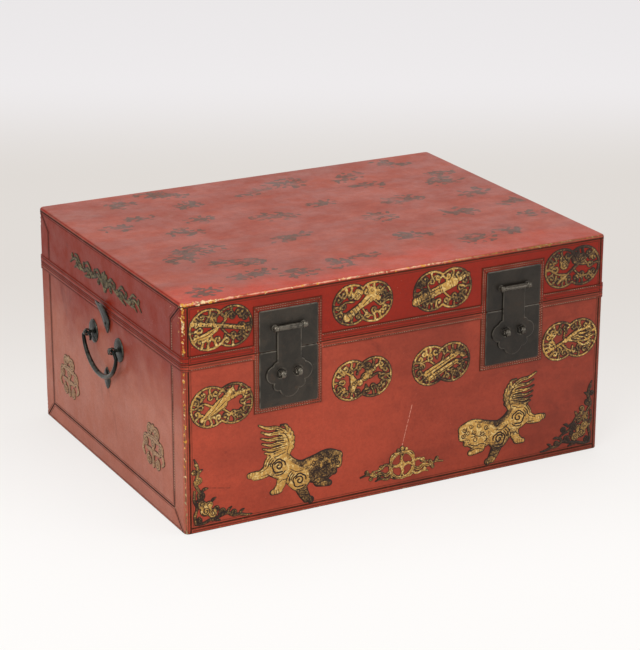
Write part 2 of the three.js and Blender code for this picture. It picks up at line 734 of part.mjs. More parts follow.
// Guardian lion that looks towards +x, with a flame tail raised behind it
function lion() {
  const body = [
    dot(-24, 14, 19),
    bar(-24, 14, 6, -12, 15, 16.5),
    dot(6, -12, 18),
    bar(-30, 20, -62, 8, 9, 6.5),
    dot(-66, 7.5, 6.8),
    bar(-22, 4, -26, -18, 10, 6),
    dot(-23, -22, 6.5),
    bar(4, -20, 18, -44, 9, 6),
    dot(22, -46, 6.5),
    bar(10, -14, 40, 4, 15, 12),
  ];
  const head = [dot(46, 6, 15), bar(50, 4, 64, -2, 10, 7), bar(46, -6, 60, -16, 7, 5)];
  const mane = [0, 1, 2, 3, 4, 5, 6].map((i) => {
    const angle = 0.6 + i * 0.52;
    return dot(42 + 15.5 * Math.cos(angle), 6 + 15.5 * Math.sin(angle), 5.2);
  });
  const tail = [
    bar(-26, 30, -12, 44, 7, 9),
    flame(-14, 40, -20, 76, 9, -9),
    flame(-14, 44, -34, 76, 8, -9),
    flame(-14, 42, -52, 74, 7.5, -9),
    flame(-14, 38, -54, 60, 7, -8),
    flame(-16, 36, -55, 46, 6.5, -7),
    flame(-18, 32, -50, 34, 6, -6),
  ];
  return join(body, head, mane, tail);
}

// Brocade ball: a ring with a cash pattern inside, four corner lobes and a ribbon each way
function brocadeBall() {
  const ring = raised(circle(0, 0, 21.5, 16.5), 8);
  const petals = [0, 1, 2, 3].map((i) => {
    const angle = (i + 0.5) * (Math.PI / 2);
    return dot(20 * Math.cos(angle), 20 * Math.sin(angle), 8.6);
  });
  const cash = [0, 1, 2, 3].map((i) => {
    const a = i * (Math.PI / 2);
    const b = a + Math.PI / 2;
    const r = 17.5;
    return bar(r * Math.cos(a), r * Math.sin(a), r * Math.cos(b), r * Math.sin(b), 1.9);
  });
  const ribbons = [-1, 1].map((side) => [
    stroke(
      (t) => [side * (18 + 48 * t), 2 + 4.5 * Math.sin(t * 5.2 + 0.4) - 5 * t],
      (t) => 2.8 * (1 - t) + 1.4,
      8,
    ),
    dot(side * 42, -1, 4.6),
    dot(side * 55, -4, 3.8),
  ]);
  return join(ring, cut(join(petals), raised(circle(0, 0, 17), 8)), cash, dot(0, 0, 4.6), [
    bar(-17, 0, 17, 0, 1.7),
    ribbons,
  ]);
}

// Corner scroll that rises at the left and runs out to the right, drawn from the corner
const cornerScroll = () =>
  join(
    stroke((t) => [4 + 3 * Math.sin(t * 7), 4 + 94 * t], (t) => 3.6 * (1 - t) + 1, 7),
    stroke((t) => [4 + 80 * t, 4 + 2.5 * Math.sin(t * 8)], (t) => 3.6 * (1 - t) + 1, 7),
    bar(6, 8, 24, 22, 8, 9),
    dot(12, 26, 8.5),
    dot(30, 13, 8.5),
    dot(10, 40, 6),
    dot(44, 9, 6),
    curl(26, 26, 11, 4, 3.6, -4.4, 2.2),
    dot(8, 58, 4.4),
    dot(58, 7, 4.2),
  );

// Ruyi cloud on the lower corners of the sides
function sideCloud(x, z) {
  const at = (dx, dz, r) => dot(x + dx, z + dz, r);
  return join(
    bar(x - 20, z - 16, x + 18, z + 16, 9, 11),
    at(-26, -8, 8.5),
    at(-12, -24, 8),
    at(-6, 8, 10),
    at(8, -8, 10),
    at(12, 26, 9),
    at(28, 10, 8),
    curl(x - 16, z + 20, 9, 5, -1.2, -3.6, 2.4),
    curl(x + 18, z - 20, 9, 5, 2, -3.6, 2.4),
  );
}

// Cloud band on the sides of the lid, thick in the middle and running out both ways
function lidCloud(x, z) {
  const half = LID_CLOUD_LENGTH / 2;
  const runs = [-1, 1].map((side) => [
    stroke(
      (t) => [x + side * (half - 2) * t, z + 4 * Math.sin(t * 9)],
      (t) => 3.4 * (1 - t) + 1.2,
      7,
    ),
    dot(x + side * 18, z + 3, 9),
    dot(x + side * 32, z - 4, 6.5),
    dot(x + side * 62, z + 5, 8),
    dot(x + side * 74, z - 3, 6),
    dot(x + side * 98, z - 4, 5.5),
  ]);
  return join(dot(x, z, 14), dot(x - 7, z + 8, 7), dot(x + 7, z + 8, 7), runs);
}

// The chest

const chest = new THREE.Group();
const base = new THREE.Group();
const lid = new THREE.Group();
chest.add(base, lid);

// Faces: a group whose x runs to the right and whose -y points out of that face
function face(parent, x, y, turn) {
  const frame = new THREE.Group();
  frame.position.set(x, y, 0);
  frame.rotation.z = turn;
  parent.add(frame);
  return frame;
}

const faces = (parent) => ({
  front: face(parent, 0, -DEPTH / 2, 0),
  back: face(parent, 0, DEPTH / 2, Math.PI),
  left: face(parent, -WIDTH / 2, 0, -Math.PI / 2),
  right: face(parent, WIDTH / 2, 0, Math.PI / 2),
});

function add(parent, name, body, material, x = 0, z = 0) {
  const mesh = meshOf(name, body, material);
  mesh.position.set(x, 0, z);
  parent.add(mesh);
  return mesh;
}

const baseFace = faces(base);
const lidFace = faces(lid);
const { leather, wood, iron, gilt } = materials;

// Carcass
wallBoards(FLOOR_TOP + SEAT, BASE_RIM, "base").forEach(([name, body]) =>
  add(base, name, body, wood),
);
add(base, "base_bottom_board", casePrism(SKIN, SKIN, FLOOR_TOP), wood);
wallBoards(LID_RIM, HEIGHT - SKIN - BOARD - SEAT, "lid").forEach(([name, body]) =>
  add(lid, name, body, wood),
);
add(lid, "lid_top_board", topBoard(), wood);

// The lower frieze fills the front between the bottom seam and the lock tabs
const friezeScale = {
  x: (2 * FRONT_X) / FRIEZE_DRAWING.width,
  z: (TAB_BOTTOM - FRIEZE_GAP - BOTTOM_SEAM_FRONT) / FRIEZE_DRAWING.height,
};

// A panel carries the scrolls and clouds that are glued down on it, and the glue joins them to it
const glue = (x, z) => stud(x, z, GLUE_RADIUS, -LEATHER / 2, SEAT + RELIEF / 2);

function frontPanelWithScrolls() {
  const scroll = meshOf("scroll", cornerScroll(), gilt);
  const scrolls = [-1, 1].map((side) => {
    const x = side * (FRONT_X - SCROLL_INSET);
    const copy = scroll.geometry.clone().scale(side * -friezeScale.x, 1, friezeScale.z);
    const z = BOTTOM_SEAM_FRONT + SCROLL_INSET / 2;
    return [solid(copy.translate(x, 0, z)), glue(x - side * 12 * friezeScale.x, z + 15)];
  });
  return join(panel(FRONT_X, FRONT_PANEL_BOTTOM, BASE_RIM), scrolls);
}

function sidePanelWithClouds() {
  const x = DEPTH / 2 - SIDE_CLOUD_PLACE;
  const clouds = [-x, x].map((cx) => [
    sideCloud(cx, SIDE_CLOUD_HEIGHT),
    glue(cx, SIDE_CLOUD_HEIGHT),
  ]);
  return join(panel(SIDE_Y, BOTTOM_SEAM_SIDE, BASE_RIM), clouds);
}

function lidSidePanelWithCloud(x) {
  const z = BASE_HEIGHT + LID_CLOUD_RISE;
  return join(panel(SIDE_Y, LID_RIM, LID_PANEL_TOP), lidCloud(x, z), glue(x, z));
}

// Leather of the base
const baseWrap = edgeSkin(
  SKIN,
  BASE_RIM,
  [FRONT_PANEL_BOTTOM, BASE_TOP],
  [BOTTOM_SEAM_SIDE, BASE_TOP],
);
add(base, "base_bottom_leather", casePrism(0, 0, LEATHER), leather);
add(base, "base_edge_and_back_leather", baseWrap, leather);
add(baseFace.front, "base_front_leather", frontPanelWithScrolls(), leather);

// Leather of the lid
const lidSpan = [LID_BOTTOM, LID_PANEL_TOP];
const lidWrap = edgeSkin(LID_RIM, LID_SKIN_TOP, lidSpan, lidSpan);
add(lid, "lid_top_leather", topLeather(), leather);
add(lid, "lid_edge_and_back_leather", lidWrap, leather);
add(lidFace.front, "lid_front_leather", panel(FRONT_X, LID_RIM, LID_PANEL_TOP), leather);

// Rim bindings
const baseBinding = binding(BASE_TOP, BASE_TOP - BASE_BINDING_HEIGHT, TAB_BOTTOM);
const lidBinding = binding(LID_BOTTOM, LID_BOTTOM + LID_BINDING_HEIGHT, TAB_TOP);
add(base, "base_rim_binding", baseBinding, leather);
add(lid, "lid_rim_binding", lidBinding, leather);

// Locks on the front
[
  ["left", -LOCK_X],
  ["right", LOCK_X],
].forEach(([side, x]) => {
  add(lidFace.front, `${side}_upper_lock_plate`, upperPlate(), iron, x);
  add(baseFace.front, `${side}_lower_lock_plate`, lowerPlate(), iron, x);
  add(lidFace.front, `${side}_hasp_rod`, haspRod(), iron, x);
  add(lidFace.front, `${side}_hasp`, hasp(), iron, x);
  const half = EYE_SPACING / 2;
  add(baseFace.front, `${side}_lock_left_eye`, eyeStaple(), iron, x - half);
  add(baseFace.front, `${side}_lock_right_eye`, eyeStaple(), iron, x + half);
});

// Handles, guide tongues and side panels
["left", "right"].forEach((side) => {
  // x runs towards the front on the left side and towards the back on the right side
  const towardsBack = side === "left" ? -1 : 1;
  const x = towardsBack * HANDLE_BACKSET;
  const half = POST_SPACING / 2;
  const frame = baseFace[side];
  const post = (name, dx) => add(frame, name, handlePost(), iron, x + dx);
  post(`${side}_handle_front_post`, -towardsBack * half);
  post(`${side}_handle_back_post`, towardsBack * half);
  add(frame, `${side}_bail_handle`, bail(), iron, x);
  add(frame, `${side}_strike_plate`, leafPlate(STRIKE_LEAF, STRIKE_Z), iron, x);
  add(frame, `${side}_lid_guide`, guideTongue(), iron, x);
  add(frame, `base_${side}_leather`, sidePanelWithClouds(), leather);
  add(lidFace[side], `lid_${side}_leather`, lidSidePanelWithCloud(x), leather);
});

// Back hinges, named as seen from the front
[
  ["left", HINGE_PLACE],
  ["right", -HINGE_PLACE],
].forEach(([side, x]) => {
  add(baseFace.back, `${side}_lower_hinge`, lowerHinge(), iron, x);
  add(lidFace.back, `${side}_upper_hinge`, upperHinge(), iron, x);
});

// Medallions, each in its bay between the seams and the lock tabs
const bayEdge = LOCK_X + LOCK_WIDTH / 2 + TAB_MARGIN;
const outerBay = FRONT_X - bayEdge;
const innerBay = LOCK_X - LOCK_WIDTH / 2 - TAB_MARGIN;
const medallionWidth = Math.min(outerBay, innerBay) - 2 * MEDALLION_SIDE_GAP;
const medallionTop = LID_PANEL_TOP - MEDALLION_END_GAP;
const medallionBottom = LID_BOTTOM + LID_BINDING_HEIGHT + MEDALLION_END_GAP;
const medallionX = [-(bayEdge + outerBay / 2), -innerBay / 2, innerBay / 2, bayEdge + outerBay / 2];
const rows = [
  [
    lidFace.front,
    "lid",
    (medallionTop + medallionBottom) / 2,
    ["flute_and_sword", "flower_basket", "banded_tube", "lotus"],
  ],
  [
    baseFace.front,
    "base",
    BASE_HEIGHT - MEDALLION_DROP,
    ["fan_and_flute", "gourd", "castanets", "fly_whisk"],
  ],
];
rows.forEach(([frame, prefix, z, names]) => {
  names.forEach((emblem, i) => {
    const mesh = add(frame, `${prefix}_${emblem}_medallion`, medallion(emblem), gilt, medallionX[i], z);
    mesh.scale.set(
      medallionWidth / MEDALLION_DRAWING.width,
      1,
      (medallionTop - medallionBottom) / MEDALLION_DRAWING.height,
    );
  });
});

// The lower frieze: lions on both sides of the ball
const frieze = new THREE.Group();
frieze.position.z = BOTTOM_SEAM_FRONT;
frieze.scale.set(friezeScale.x, 1, friezeScale.z);
baseFace.front.add(frieze);
const lionBody = lion();
const mirroredLion = meshOf("mirror", lionBody, gilt).geometry.scale(-1, 1, 1);
add(frieze, "left_lion", lionBody, gilt, -LION_X, LION_Z);
add(frieze, "right_lion", solid(mirroredLion), gilt, LION_X, LION_Z);
add(frieze, "brocade_ball", brocadeBall(), gilt, BALL_X, BALL_Z);

export default chest;
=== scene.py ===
"""The looks of a lacquered leather chest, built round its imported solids.

Lengths are millimetres until a mesh is made, and metres from there on. A place on a wall is given by
its distance across, its distance out of the case's face and its height. The shapes are grids worked out
with numpy, and each finish is a node material on object coordinates and on values kept in the meshes.
"""

import logging
import math
from collections.abc import Callable, Sequence
from dataclasses import dataclass, field
from enum import Enum
from typing import Any

import bmesh
import bpy
import numpy as np
from mathutils import Matrix, Vector


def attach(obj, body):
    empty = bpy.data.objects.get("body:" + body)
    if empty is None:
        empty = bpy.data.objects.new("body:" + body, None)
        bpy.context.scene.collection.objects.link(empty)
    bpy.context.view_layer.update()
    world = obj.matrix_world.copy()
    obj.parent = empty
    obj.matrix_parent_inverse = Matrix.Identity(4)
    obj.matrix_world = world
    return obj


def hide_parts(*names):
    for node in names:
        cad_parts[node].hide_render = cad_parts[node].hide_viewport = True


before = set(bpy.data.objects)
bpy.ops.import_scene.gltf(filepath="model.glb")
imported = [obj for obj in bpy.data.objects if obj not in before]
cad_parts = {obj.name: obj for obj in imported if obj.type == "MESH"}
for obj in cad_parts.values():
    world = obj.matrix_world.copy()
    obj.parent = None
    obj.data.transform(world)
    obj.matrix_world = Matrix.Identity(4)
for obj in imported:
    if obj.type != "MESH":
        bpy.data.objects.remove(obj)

LOG = logging.getLogger("chest")
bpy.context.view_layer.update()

# Heights and thicknesses shared by the leather and the iron

HALF_WIDTH = 330.0
HALF_DEPTH = 250.0
CORNER = 7.0
TOP = 326.0
LEATHER = 2.0
BASE_FOOT = 0.1
BASE_RIM = 240.35
LID_RIM = 243.65
LID_SKIN_TOP = 321.4
FRONT_SEAM = 322.0
SIDE_SEAM = 215.0
BOTTOM_STRIP = 28.0
FRONT_STRIP = 8.0
MITRE_HEIGHT = 297.0
LINE_INSET = 3.3
LOCK_X = 176.0
HANDLE_Y = 5.0


def tint(red: float, green: float, blue: float) -> tuple[float, float, float, float]:
    """A colour as it is seen on a screen, 0 to 255, as linear light.

    Args:
        red, green, blue: the colour's parts.

    Returns:
        The linear colour with an alpha of 1.
    """
    parts = np.array([red, green, blue]) / 255.0
    low = parts / 12.92
    high = ((parts + 0.055) / 1.055) ** 2.4
    linear = np.where(parts <= 0.04045, low, high)
    return (float(linear[0]), float(linear[1]), float(linear[2]), 1.0)


class Wall(Enum):
    """A wall of the case, and the way from its own directions to the case's."""

    FRONT = "front"
    BACK = "back"
    LEFT = "left"
    RIGHT = "right"

    def place(self, points: np.ndarray) -> np.ndarray:
        """Puts points given as across, out and height on this wall.

        Args:
            points: array (..., 3). Across runs to the right as the wall is seen from outside.

        Returns:
            The points in the case's directions.
        """
        across, out, height = np.moveaxis(np.asarray(points, float), -1, 0)
        if self is Wall.FRONT:
            parts = (across, -HALF_DEPTH - out, height)
        elif self is Wall.BACK:
            parts = (-across, HALF_DEPTH + out, height)
        elif self is Wall.LEFT:
            parts = (-HALF_WIDTH - out, -across, height)
        else:
            parts = (HALF_WIDTH + out, across, height)
        return np.stack(parts, axis=-1)


@dataclass
class Shape:
    """A mesh in the making: corners, faces in blocks of one corner count, and values per corner."""

    points: np.ndarray
    faces: list[np.ndarray]
    fields: dict[str, np.ndarray] = field(default_factory=dict)

    def volume(self) -> float:
        """The signed volume, as the sum of the cones from the origin to a fan in each face."""
        total = 0.0
        for block in self.faces:
            first = self.points[block[:, :1]]
            second = self.points[block[:, 1:-1]]
            third = self.points[block[:, 2:]]
            total += float(np.sum(first * np.cross(second, third)))
        return total / 6.0

    def flipped(self) -> "Shape":
        """The same shape with its faces turned round."""
        return Shape(self.points, [block[:, ::-1] for block in self.faces], self.fields)

    def outward(self) -> "Shape":
        """The same closed shape with its faces pointing outwards."""
        return self if self.volume() > 0.0 else self.flipped()

    def turned_over(self, mirror: bool) -> "Shape":
        """The shape, mirrored left to right if asked, with its faces as they were."""
        return Shape(self.points * np.array([-1.0 if mirror else 1.0, 1.0, 1.0]), self.faces, self.fields)

    def placed(self, wall: Wall, across: float = 0.0, out: float = 0.0, height: float = 0.0) -> "Shape":
        """The shape on a wall, shifted there, with its faces pointing outwards."""
        moved = self.points + np.array([across, out, height])
        return Shape(wall.place(moved), self.faces, self.fields).outward()

    def build(
        self, name: str, material: bpy.types.Material, sharp: float = 38.0, weld: bool = False
    ) -> bpy.types.Object:
        """Makes the Blender object.

        Args:
            name: the piece's name.
            material: its finish.
            sharp: the angle in degrees past which an edge is shaded sharp.
            weld: joins corners that lie on each other.

        Returns:
            The object, at the origin.
        """
        mesh = bpy.data.meshes.new(name)
        blocks = [block for block in self.faces if len(block)]
        counts = np.concatenate([np.full(len(block), block.shape[1]) for block in blocks])
        corners = np.concatenate([block.ravel() for block in blocks]).astype(np.int32)
        starts = np.concatenate([[0], np.cumsum(counts)[:-1]]).astype(np.int32)
        mesh.vertices.add(len(self.points))
        mesh.vertices.foreach_set("co", (self.points / 1000.0).astype(np.float32).ravel())
        mesh.loops.add(len(corners))
        mesh.loops.foreach_set("vertex_index", corners)
        mesh.polygons.add(len(counts))
        mesh.polygons.foreach_set("loop_start", starts)
        for key, values in self.fields.items():
            attribute = mesh.attributes.new(key, "FLOAT", "POINT")
            attribute.data.foreach_set("value", np.asarray(values, np.float32).ravel())
        mesh.update(calc_edges=True)
        if weld:
            merged = bmesh.new()
            merged.from_mesh(mesh)
            bmesh.ops.remove_doubles(merged, verts=merged.verts, dist=2e-6)
            bmesh.ops.dissolve_degenerate(merged, edges=merged.edges, dist=1e-7)
            merged.to_mesh(mesh)
            merged.free()
        mesh.validate()
        mesh.shade_smooth()
        mesh.set_sharp_from_angle(angle=math.radians(sharp))
        mesh.materials.append(material)
        piece = bpy.data.objects.new(name, mesh)
        bpy.context.scene.collection.objects.link(piece)
        return piece


def join(shapes: Sequence[Shape]) -> Shape:
    """Several shapes as one. A value that one of them lacks is 0 there."""
    keys = sorted({key for shape in shapes for key in shape.fields})
    offsets = np.cumsum([0] + [len(shape.points) for shape in shapes])
    faces: dict[int, list[np.ndarray]] = {}
    for shape, offset in zip(shapes, offsets):
        for block in shape.faces:
            faces.setdefault(block.shape[1], []).append(block + offset)
    fields = {
        key: np.concatenate([shape.fields.get(key, np.zeros(len(shape.points))) for shape in shapes])
        for key in keys
    }
    points = np.concatenate([shape.points for shape in shapes])
    return Shape(points, [np.concatenate(blocks) for blocks in faces.values()], fields)


def set_down(piece: bpy.types.Object, body: str, slot: str, *nodes: str) -> bpy.types.Object:
    """Makes a piece ride on a body, hides the nodes that it stands for, and reports it."""
    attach(piece, body)
    if nodes:
        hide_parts(*nodes)
    LOG.info("%s on %s: %d faces", piece.name, body, len(piece.data.polygons))
    return piece


# Grids


def quads(rows: int, columns: int, wrap_rows: bool = False, wrap_columns: bool = False) -> np.ndarray:
    """The faces between the points of a grid: each joins a point, the next row's and their neighbours."""
    index = np.arange(rows * columns).reshape(rows, columns)
    if wrap_rows:
        index = np.concatenate([index, index[:1]])
    if wrap_columns:
        index = np.concatenate([index, index[:, :1]], axis=1)
    corners = [index[:-1, :-1], index[1:, :-1], index[1:, 1:], index[:-1, 1:]]
    return np.stack(corners, axis=-1).reshape(-1, 4)


def loft(grid: np.ndarray, wrap: bool = False, fields: dict[str, np.ndarray] | None = None) -> Shape:
    """A closed tube through rings of points.

    Args:
        grid: array (rings, points, 3); each ring is closed.
        wrap: the last ring joins the first, and otherwise both ends get a flat face.
        fields: values, each of the grid's shape.

    Returns:
        The shape, facing outwards.
    """
    rows, columns = grid.shape[:2]
    faces = [quads(rows, columns, wrap, True)]
    if not wrap:
        ends = np.stack([np.arange(columns), (rows * columns - 1) - np.arange(columns)])
        faces.append(ends)
    values = {key: np.asarray(value).reshape(-1) for key, value in (fields or {}).items()}
    return Shape(grid.reshape(-1, 3), faces, values).outward()


def slab(front: np.ndarray, back: np.ndarray, fields: dict[str, np.ndarray]) -> Shape:
    """A closed sheet between two grids of the same size, with walls along their borders."""
    rows, columns = front.shape[:2]
    count = rows * columns
    index = np.arange(count).reshape(rows, columns)
    edge = np.concatenate([index[0, :-1], index[:-1, -1], index[-1, :0:-1], index[:0:-1, 0]])
    after = np.roll(edge, -1)
    walls = np.stack([edge, after, after + count, edge + count], axis=1)
    cells = quads(rows, columns)
    points = np.concatenate([front.reshape(-1, 3), back.reshape(-1, 3)])
    values = {key: np.concatenate([value.ravel(), value.ravel()]) for key, value in fields.items()}
    return Shape(points, [np.concatenate([cells, cells[:, ::-1] + count, walls])], values).outward()


RIM_STEPS = (0.0, 0.15, 0.4, 0.8, 1.3, 2.2, 2.8, 3.3, 3.8, 4.8)


def graded(low: float, high: float, step: float, rim: Sequence[float] = RIM_STEPS) -> np.ndarray:
    """Places from low to high that are close at both ends and even between."""
    near = np.array([value for value in rim if value < (high - low) / 2])
    inner_low, inner_high = low + near[-1], high - near[-1]
    count = max(int(round((inner_high - inner_low) / step)), 1)
    inner = np.linspace(inner_low, inner_high, count + 1)[1:-1]
    return np.concatenate([low + near, inner, (high - near)[::-1]])


def ripple(across: np.ndarray, height: np.ndarray) -> np.ndarray:
    """A slight unevenness of laid leather: a sum of five slow waves, within about 0.12."""
    waves = 0.045 * np.sin(across / 23.0 + 1.3 * np.sin(height / 41.0))
    waves += 0.035 * np.sin(height / 17.0 + across / 61.0 + 2.0)
    waves += 0.025 * np.sin(across / 9.3 - height / 13.0 + 0.7)
    return waves + 0.015 * np.sin(across / 4.7 + height / 7.9)


# The case's plan and the leather on it


@dataclass(frozen=True)
class Plan:
    """The outline of the case seen from above, with distances along it from the front's left end."""

    half_width: float = HALF_WIDTH
    half_depth: float = HALF_DEPTH
    corner: float = CORNER

    @property
    def breaks(self) -> np.ndarray:
        """Where the straight sides and the round corners begin, as distances along."""
        arc = self.corner * math.pi / 2
        wide = 2 * (self.half_width - self.corner)
        deep = 2 * (self.half_depth - self.corner)
        return np.cumsum([0.0, wide, arc, deep, arc, wide, arc, deep, arc])

    @property
    def length(self) -> float:
        """The whole way round."""
        return float(self.breaks[-1])

    @property
    def middles(self) -> np.ndarray:
        """The middles of the four round corners, as distances along."""
        return (self.breaks[1::2] + self.breaks[2::2]) / 2

    def at(self, wall: Wall, place: float) -> float:
        """The distance along of a place on a wall: x on the front and back, y on the sides."""
        breaks = self.breaks
        if wall is Wall.FRONT:
            return float(breaks[0] + place + self.half_width - self.corner)
        if wall is Wall.RIGHT:
            return float(breaks[2] + place + self.half_depth - self.corner)
        if wall is Wall.BACK:
            return float(breaks[4] + self.half_width - self.corner - place)
        return float(breaks[6] + self.half_depth - self.corner - place)

    def place(self, along: np.ndarray, out: np.ndarray, height: np.ndarray) -> np.ndarray:
        """Points at distances along the outline, out of it and up. The corners keep their middles."""
        along, out, height = np.broadcast_arrays(along, out, height)
        along = np.mod(along, self.length)
        side_x = np.interp(along, self.breaks, [-1, 1, 1, 1, 1, -1, -1, -1, -1])
        side_y = np.interp(along, self.breaks, [-1, -1, -1, 1, 1, 1, 1, -1, -1])
        angle = np.radians(np.interp(along, self.breaks, [-90, -90, 0, 0, 90, 90, 180, 180, 270]))
        radius = np.maximum(self.corner + out, 0.0)
        x = side_x * (self.half_width + out - radius) + radius * np.cos(angle)
        y = side_y * (self.half_depth + out - radius) + radius * np.sin(angle)
        return np.stack([x, y, height], axis=-1)

    def sweep(self, along: np.ndarray, profile: Sequence[Sequence[float]]) -> np.ndarray:
        """A profile's points, each as out and up, at every distance along: array (along, points, 3)."""
        rows = np.asarray(profile, float)
        return self.place(along[:, None], rows[None, :, 0], rows[None, :, 1])

    def turn(self, along: np.ndarray) -> np.ndarray:
        """0 on the front and 1 on the other walls, changing over the corners."""
        return np.interp(np.mod(along, self.length), self.breaks, [0, 0, 1, 1, 1, 1, 1, 1, 0])

    def arris(self, along: np.ndarray) -> np.ndarray:
        """Distance along to the middle of the nearest round corner."""
        gap = np.abs(np.mod(along, self.length)[..., None] - self.middles)
        return np.min(np.minimum(gap, self.length - gap), axis=-1)

    def samples(self, step: float, arc_count: int = 8) -> np.ndarray:
        """Distances along for a whole turn, close in the round corners."""
        parts = []
        for number, (start, stop) in enumerate(zip(self.breaks[:-1], self.breaks[1:])):
            count = arc_count if number % 2 else int((stop - start) / step)
            parts.append(np.linspace(start, stop, count + 1)[:-1])
        return np.concatenate(parts)


PLAN = Plan()
Edge = tuple[tuple[float, float], ...]


@dataclass(frozen=True)
class Panel:
    """One piece of leather on the walls, between two heights and two edges that may slant."""

    name: str
    node: str
    low: float
    high: float
    left: Edge
    right: Edge
    lined: bool = False
    fillet: float = 1.1
    gap: float = 0.12
    step: float = 6.0
    corner_reach: float = 44.0
    corner_step: float = 1.5
    line_depth: float = 0.4
    line_half: float = 0.42

    def edge(self, knots: Edge, height: np.ndarray) -> np.ndarray:
        """The distance along of an edge at some heights, straight between its knots."""
        heights, places = zip(*knots)
        return np.interp(height, heights, places)

    def shape(self) -> Shape:
        """The sheet: round borders, a line beside them where it has one, and slight unevenness.

        The face lies at 0 out. Within the fillet's radius r of a border it falls by
        r - sqrt(r^2 - (r - d)^2), where d is the distance to that border.

        Returns:
            The shape with its values seam, arris and turn.
        """
        height = graded(self.low + self.gap, self.high - self.gap, self.step)
        for knots in (self.left, self.right):
            height = np.union1d(height, [h for h, _ in knots if self.low < h < self.high])
        left, right = self.edge(self.left, height), self.edge(self.right, height)
        widest = int(np.argmax(right - left))
        start, stop = left[widest] + self.gap, right[widest] - self.gap
        columns = [graded(start, stop, self.step)]
        for middle in PLAN.middles:
            low, high = max(middle - self.corner_reach, start), min(middle + self.corner_reach, stop)
            columns.append(np.arange(low, high, self.corner_step))
        along = np.unique(np.round(np.concatenate(columns), 3))
        ratio = (along - start) / (stop - start)
        left, right = left[:, None] + self.gap, right[:, None] - self.gap
        along = left + (right - left) * ratio
        level = np.broadcast_to(height[:, None], along.shape)
        from_left = (along - left) / np.hypot(1, np.gradient(left[:, 0], height)[:, None])
        from_right = (right - along) / np.hypot(1, np.gradient(right[:, 0], height)[:, None])
        border = np.minimum(from_left, from_right)
        border = np.minimum(border, np.minimum(level - height[0], height[-1] - level))
        short = np.clip(self.fillet - border, 0, self.fillet)
        out = np.sqrt(self.fillet**2 - short**2) - self.fillet
        out = out + ripple(along, level) * np.clip(border / 8, 0, 1)
        if self.lined:
            out = out - self.line_depth * np.exp(-(((border - LINE_INSET) / self.line_half) ** 2))
        worn = np.minimum(PLAN.arris(along), np.maximum(level, 0.0))
        fields = {"seam": border, "arris": worn, "turn": PLAN.turn(along)}
        return slab(PLAN.place(along, out, level), PLAN.place(along, -LEATHER, level), fields)


def walls_of_leather(part: str) -> list[Panel]:
    """The panels, corner strips and back of the base or the lid.

    The front panel ends just inside the corners. The side panels are set back by a broad strip, which
    narrows to nothing towards the case's own corner: downwards on the base and upwards on the lid.

    Args:
        part: base or lid.

    Returns:
        The panels, named after the nodes that they stand for.
    """
    base = part == "base"
    low, high = (BASE_FOOT, BASE_RIM) if base else (LID_RIM, LID_SKIN_TOP)
    side_end = HALF_DEPTH - CORNER
    if base:
        flank = ((0.0, side_end), (BOTTOM_STRIP, SIDE_SEAM), (high, SIDE_SEAM))
        face = ((0.0, FRONT_SEAM + 0.5), (FRONT_STRIP, FRONT_SEAM), (high, FRONT_SEAM))
    else:
        flank = ((low, SIDE_SEAM), (MITRE_HEIGHT, SIDE_SEAM), (high, side_end))
        face = ((low, FRONT_SEAM), (high, FRONT_SEAM))

    def on(wall: Wall, knots: Edge, sign: float, turn: float = 0.0) -> Edge:
        """An edge as heights and distances along, on one side of a wall."""
        return tuple((h, PLAN.at(wall, sign * place) + turn) for h, place in knots)

    front = on(Wall.FRONT, face, -1), on(Wall.FRONT, face, 1)
    left = on(Wall.LEFT, flank, 1), on(Wall.LEFT, flank, -1)
    right = on(Wall.RIGHT, flank, -1), on(Wall.RIGHT, flank, 1)
    wrap = "edge_and_back_leather"
    rows = [
        ("front_skin", "front_leather", FRONT_STRIP if base else low, high, *front, False),
        ("left_skin", "left_leather", BOTTOM_STRIP if base else low, high, *left, True),
        ("right_skin", "right_leather", BOTTOM_STRIP if base else low, high, *right, True),
        ("left_corner_strip", wrap, low, high, left[1], on(Wall.FRONT, face, -1, PLAN.length), True),
        ("right_corner_strip", wrap, low, high, front[1], right[0], True),
        ("back_skin", wrap, low, high, right[1], left[0], True),
    ]
    if base:
        rows += [
            ("front_strip", wrap, low, FRONT_STRIP, *front, False),
            ("left_strip", wrap, low, BOTTOM_STRIP, *left, True),
            ("right_strip", wrap, low, BOTTOM_STRIP, *right, True),
        ]
    return [Panel(f"{part}_{name}", f"{part}_{node}", *rest) for name, node, *rest in rows]


# Strokes: the drawing of ornaments, painted or raised

Lines = np.ndarray
Box = tuple[float, float, float, float]
Fields = dict[str, np.ndarray]
Face = tuple[np.ndarray, Fields]
TILE = 20


def curve(knots: Sequence[Sequence[float]], samples: int = 6) -> np.ndarray:
    """A smooth line through knots, each with its two places and any further values.

    Between two knots the Catmull-Rom polynomial of the four nearest is used.

    Args:
        knots: the knots, in order.
        samples: points between two knots.

    Returns:
        Array (points, values).
    """
    knots = np.asarray(knots, float)
    ends = np.concatenate([2 * knots[:1] - knots[1:2], knots, 2 * knots[-1:] - knots[-2:-1]])
    t = np.linspace(0, 1, samples, endpoint=False)[None, :, None]
    a, b, c, d = (ends[k : len(ends) - 3 + k][:, None, :] for k in range(4))
    parts = 0.5 * (2 * b + (c - a) * t + (2 * a - 5 * b + 4 * c - d) * t**2 + (3 * b - a - 3 * c + d) * t**3)
    return np.concatenate([parts.reshape(-1, knots.shape[1]), knots[-1:]])


def trace(points: np.ndarray) -> Lines:
    """Rows of two ends and two half widths from a line of points with widths."""
    return np.concatenate([points[:-1, :2], points[1:, :2], points[:-1, 2:3], points[1:, 2:3]], axis=1)


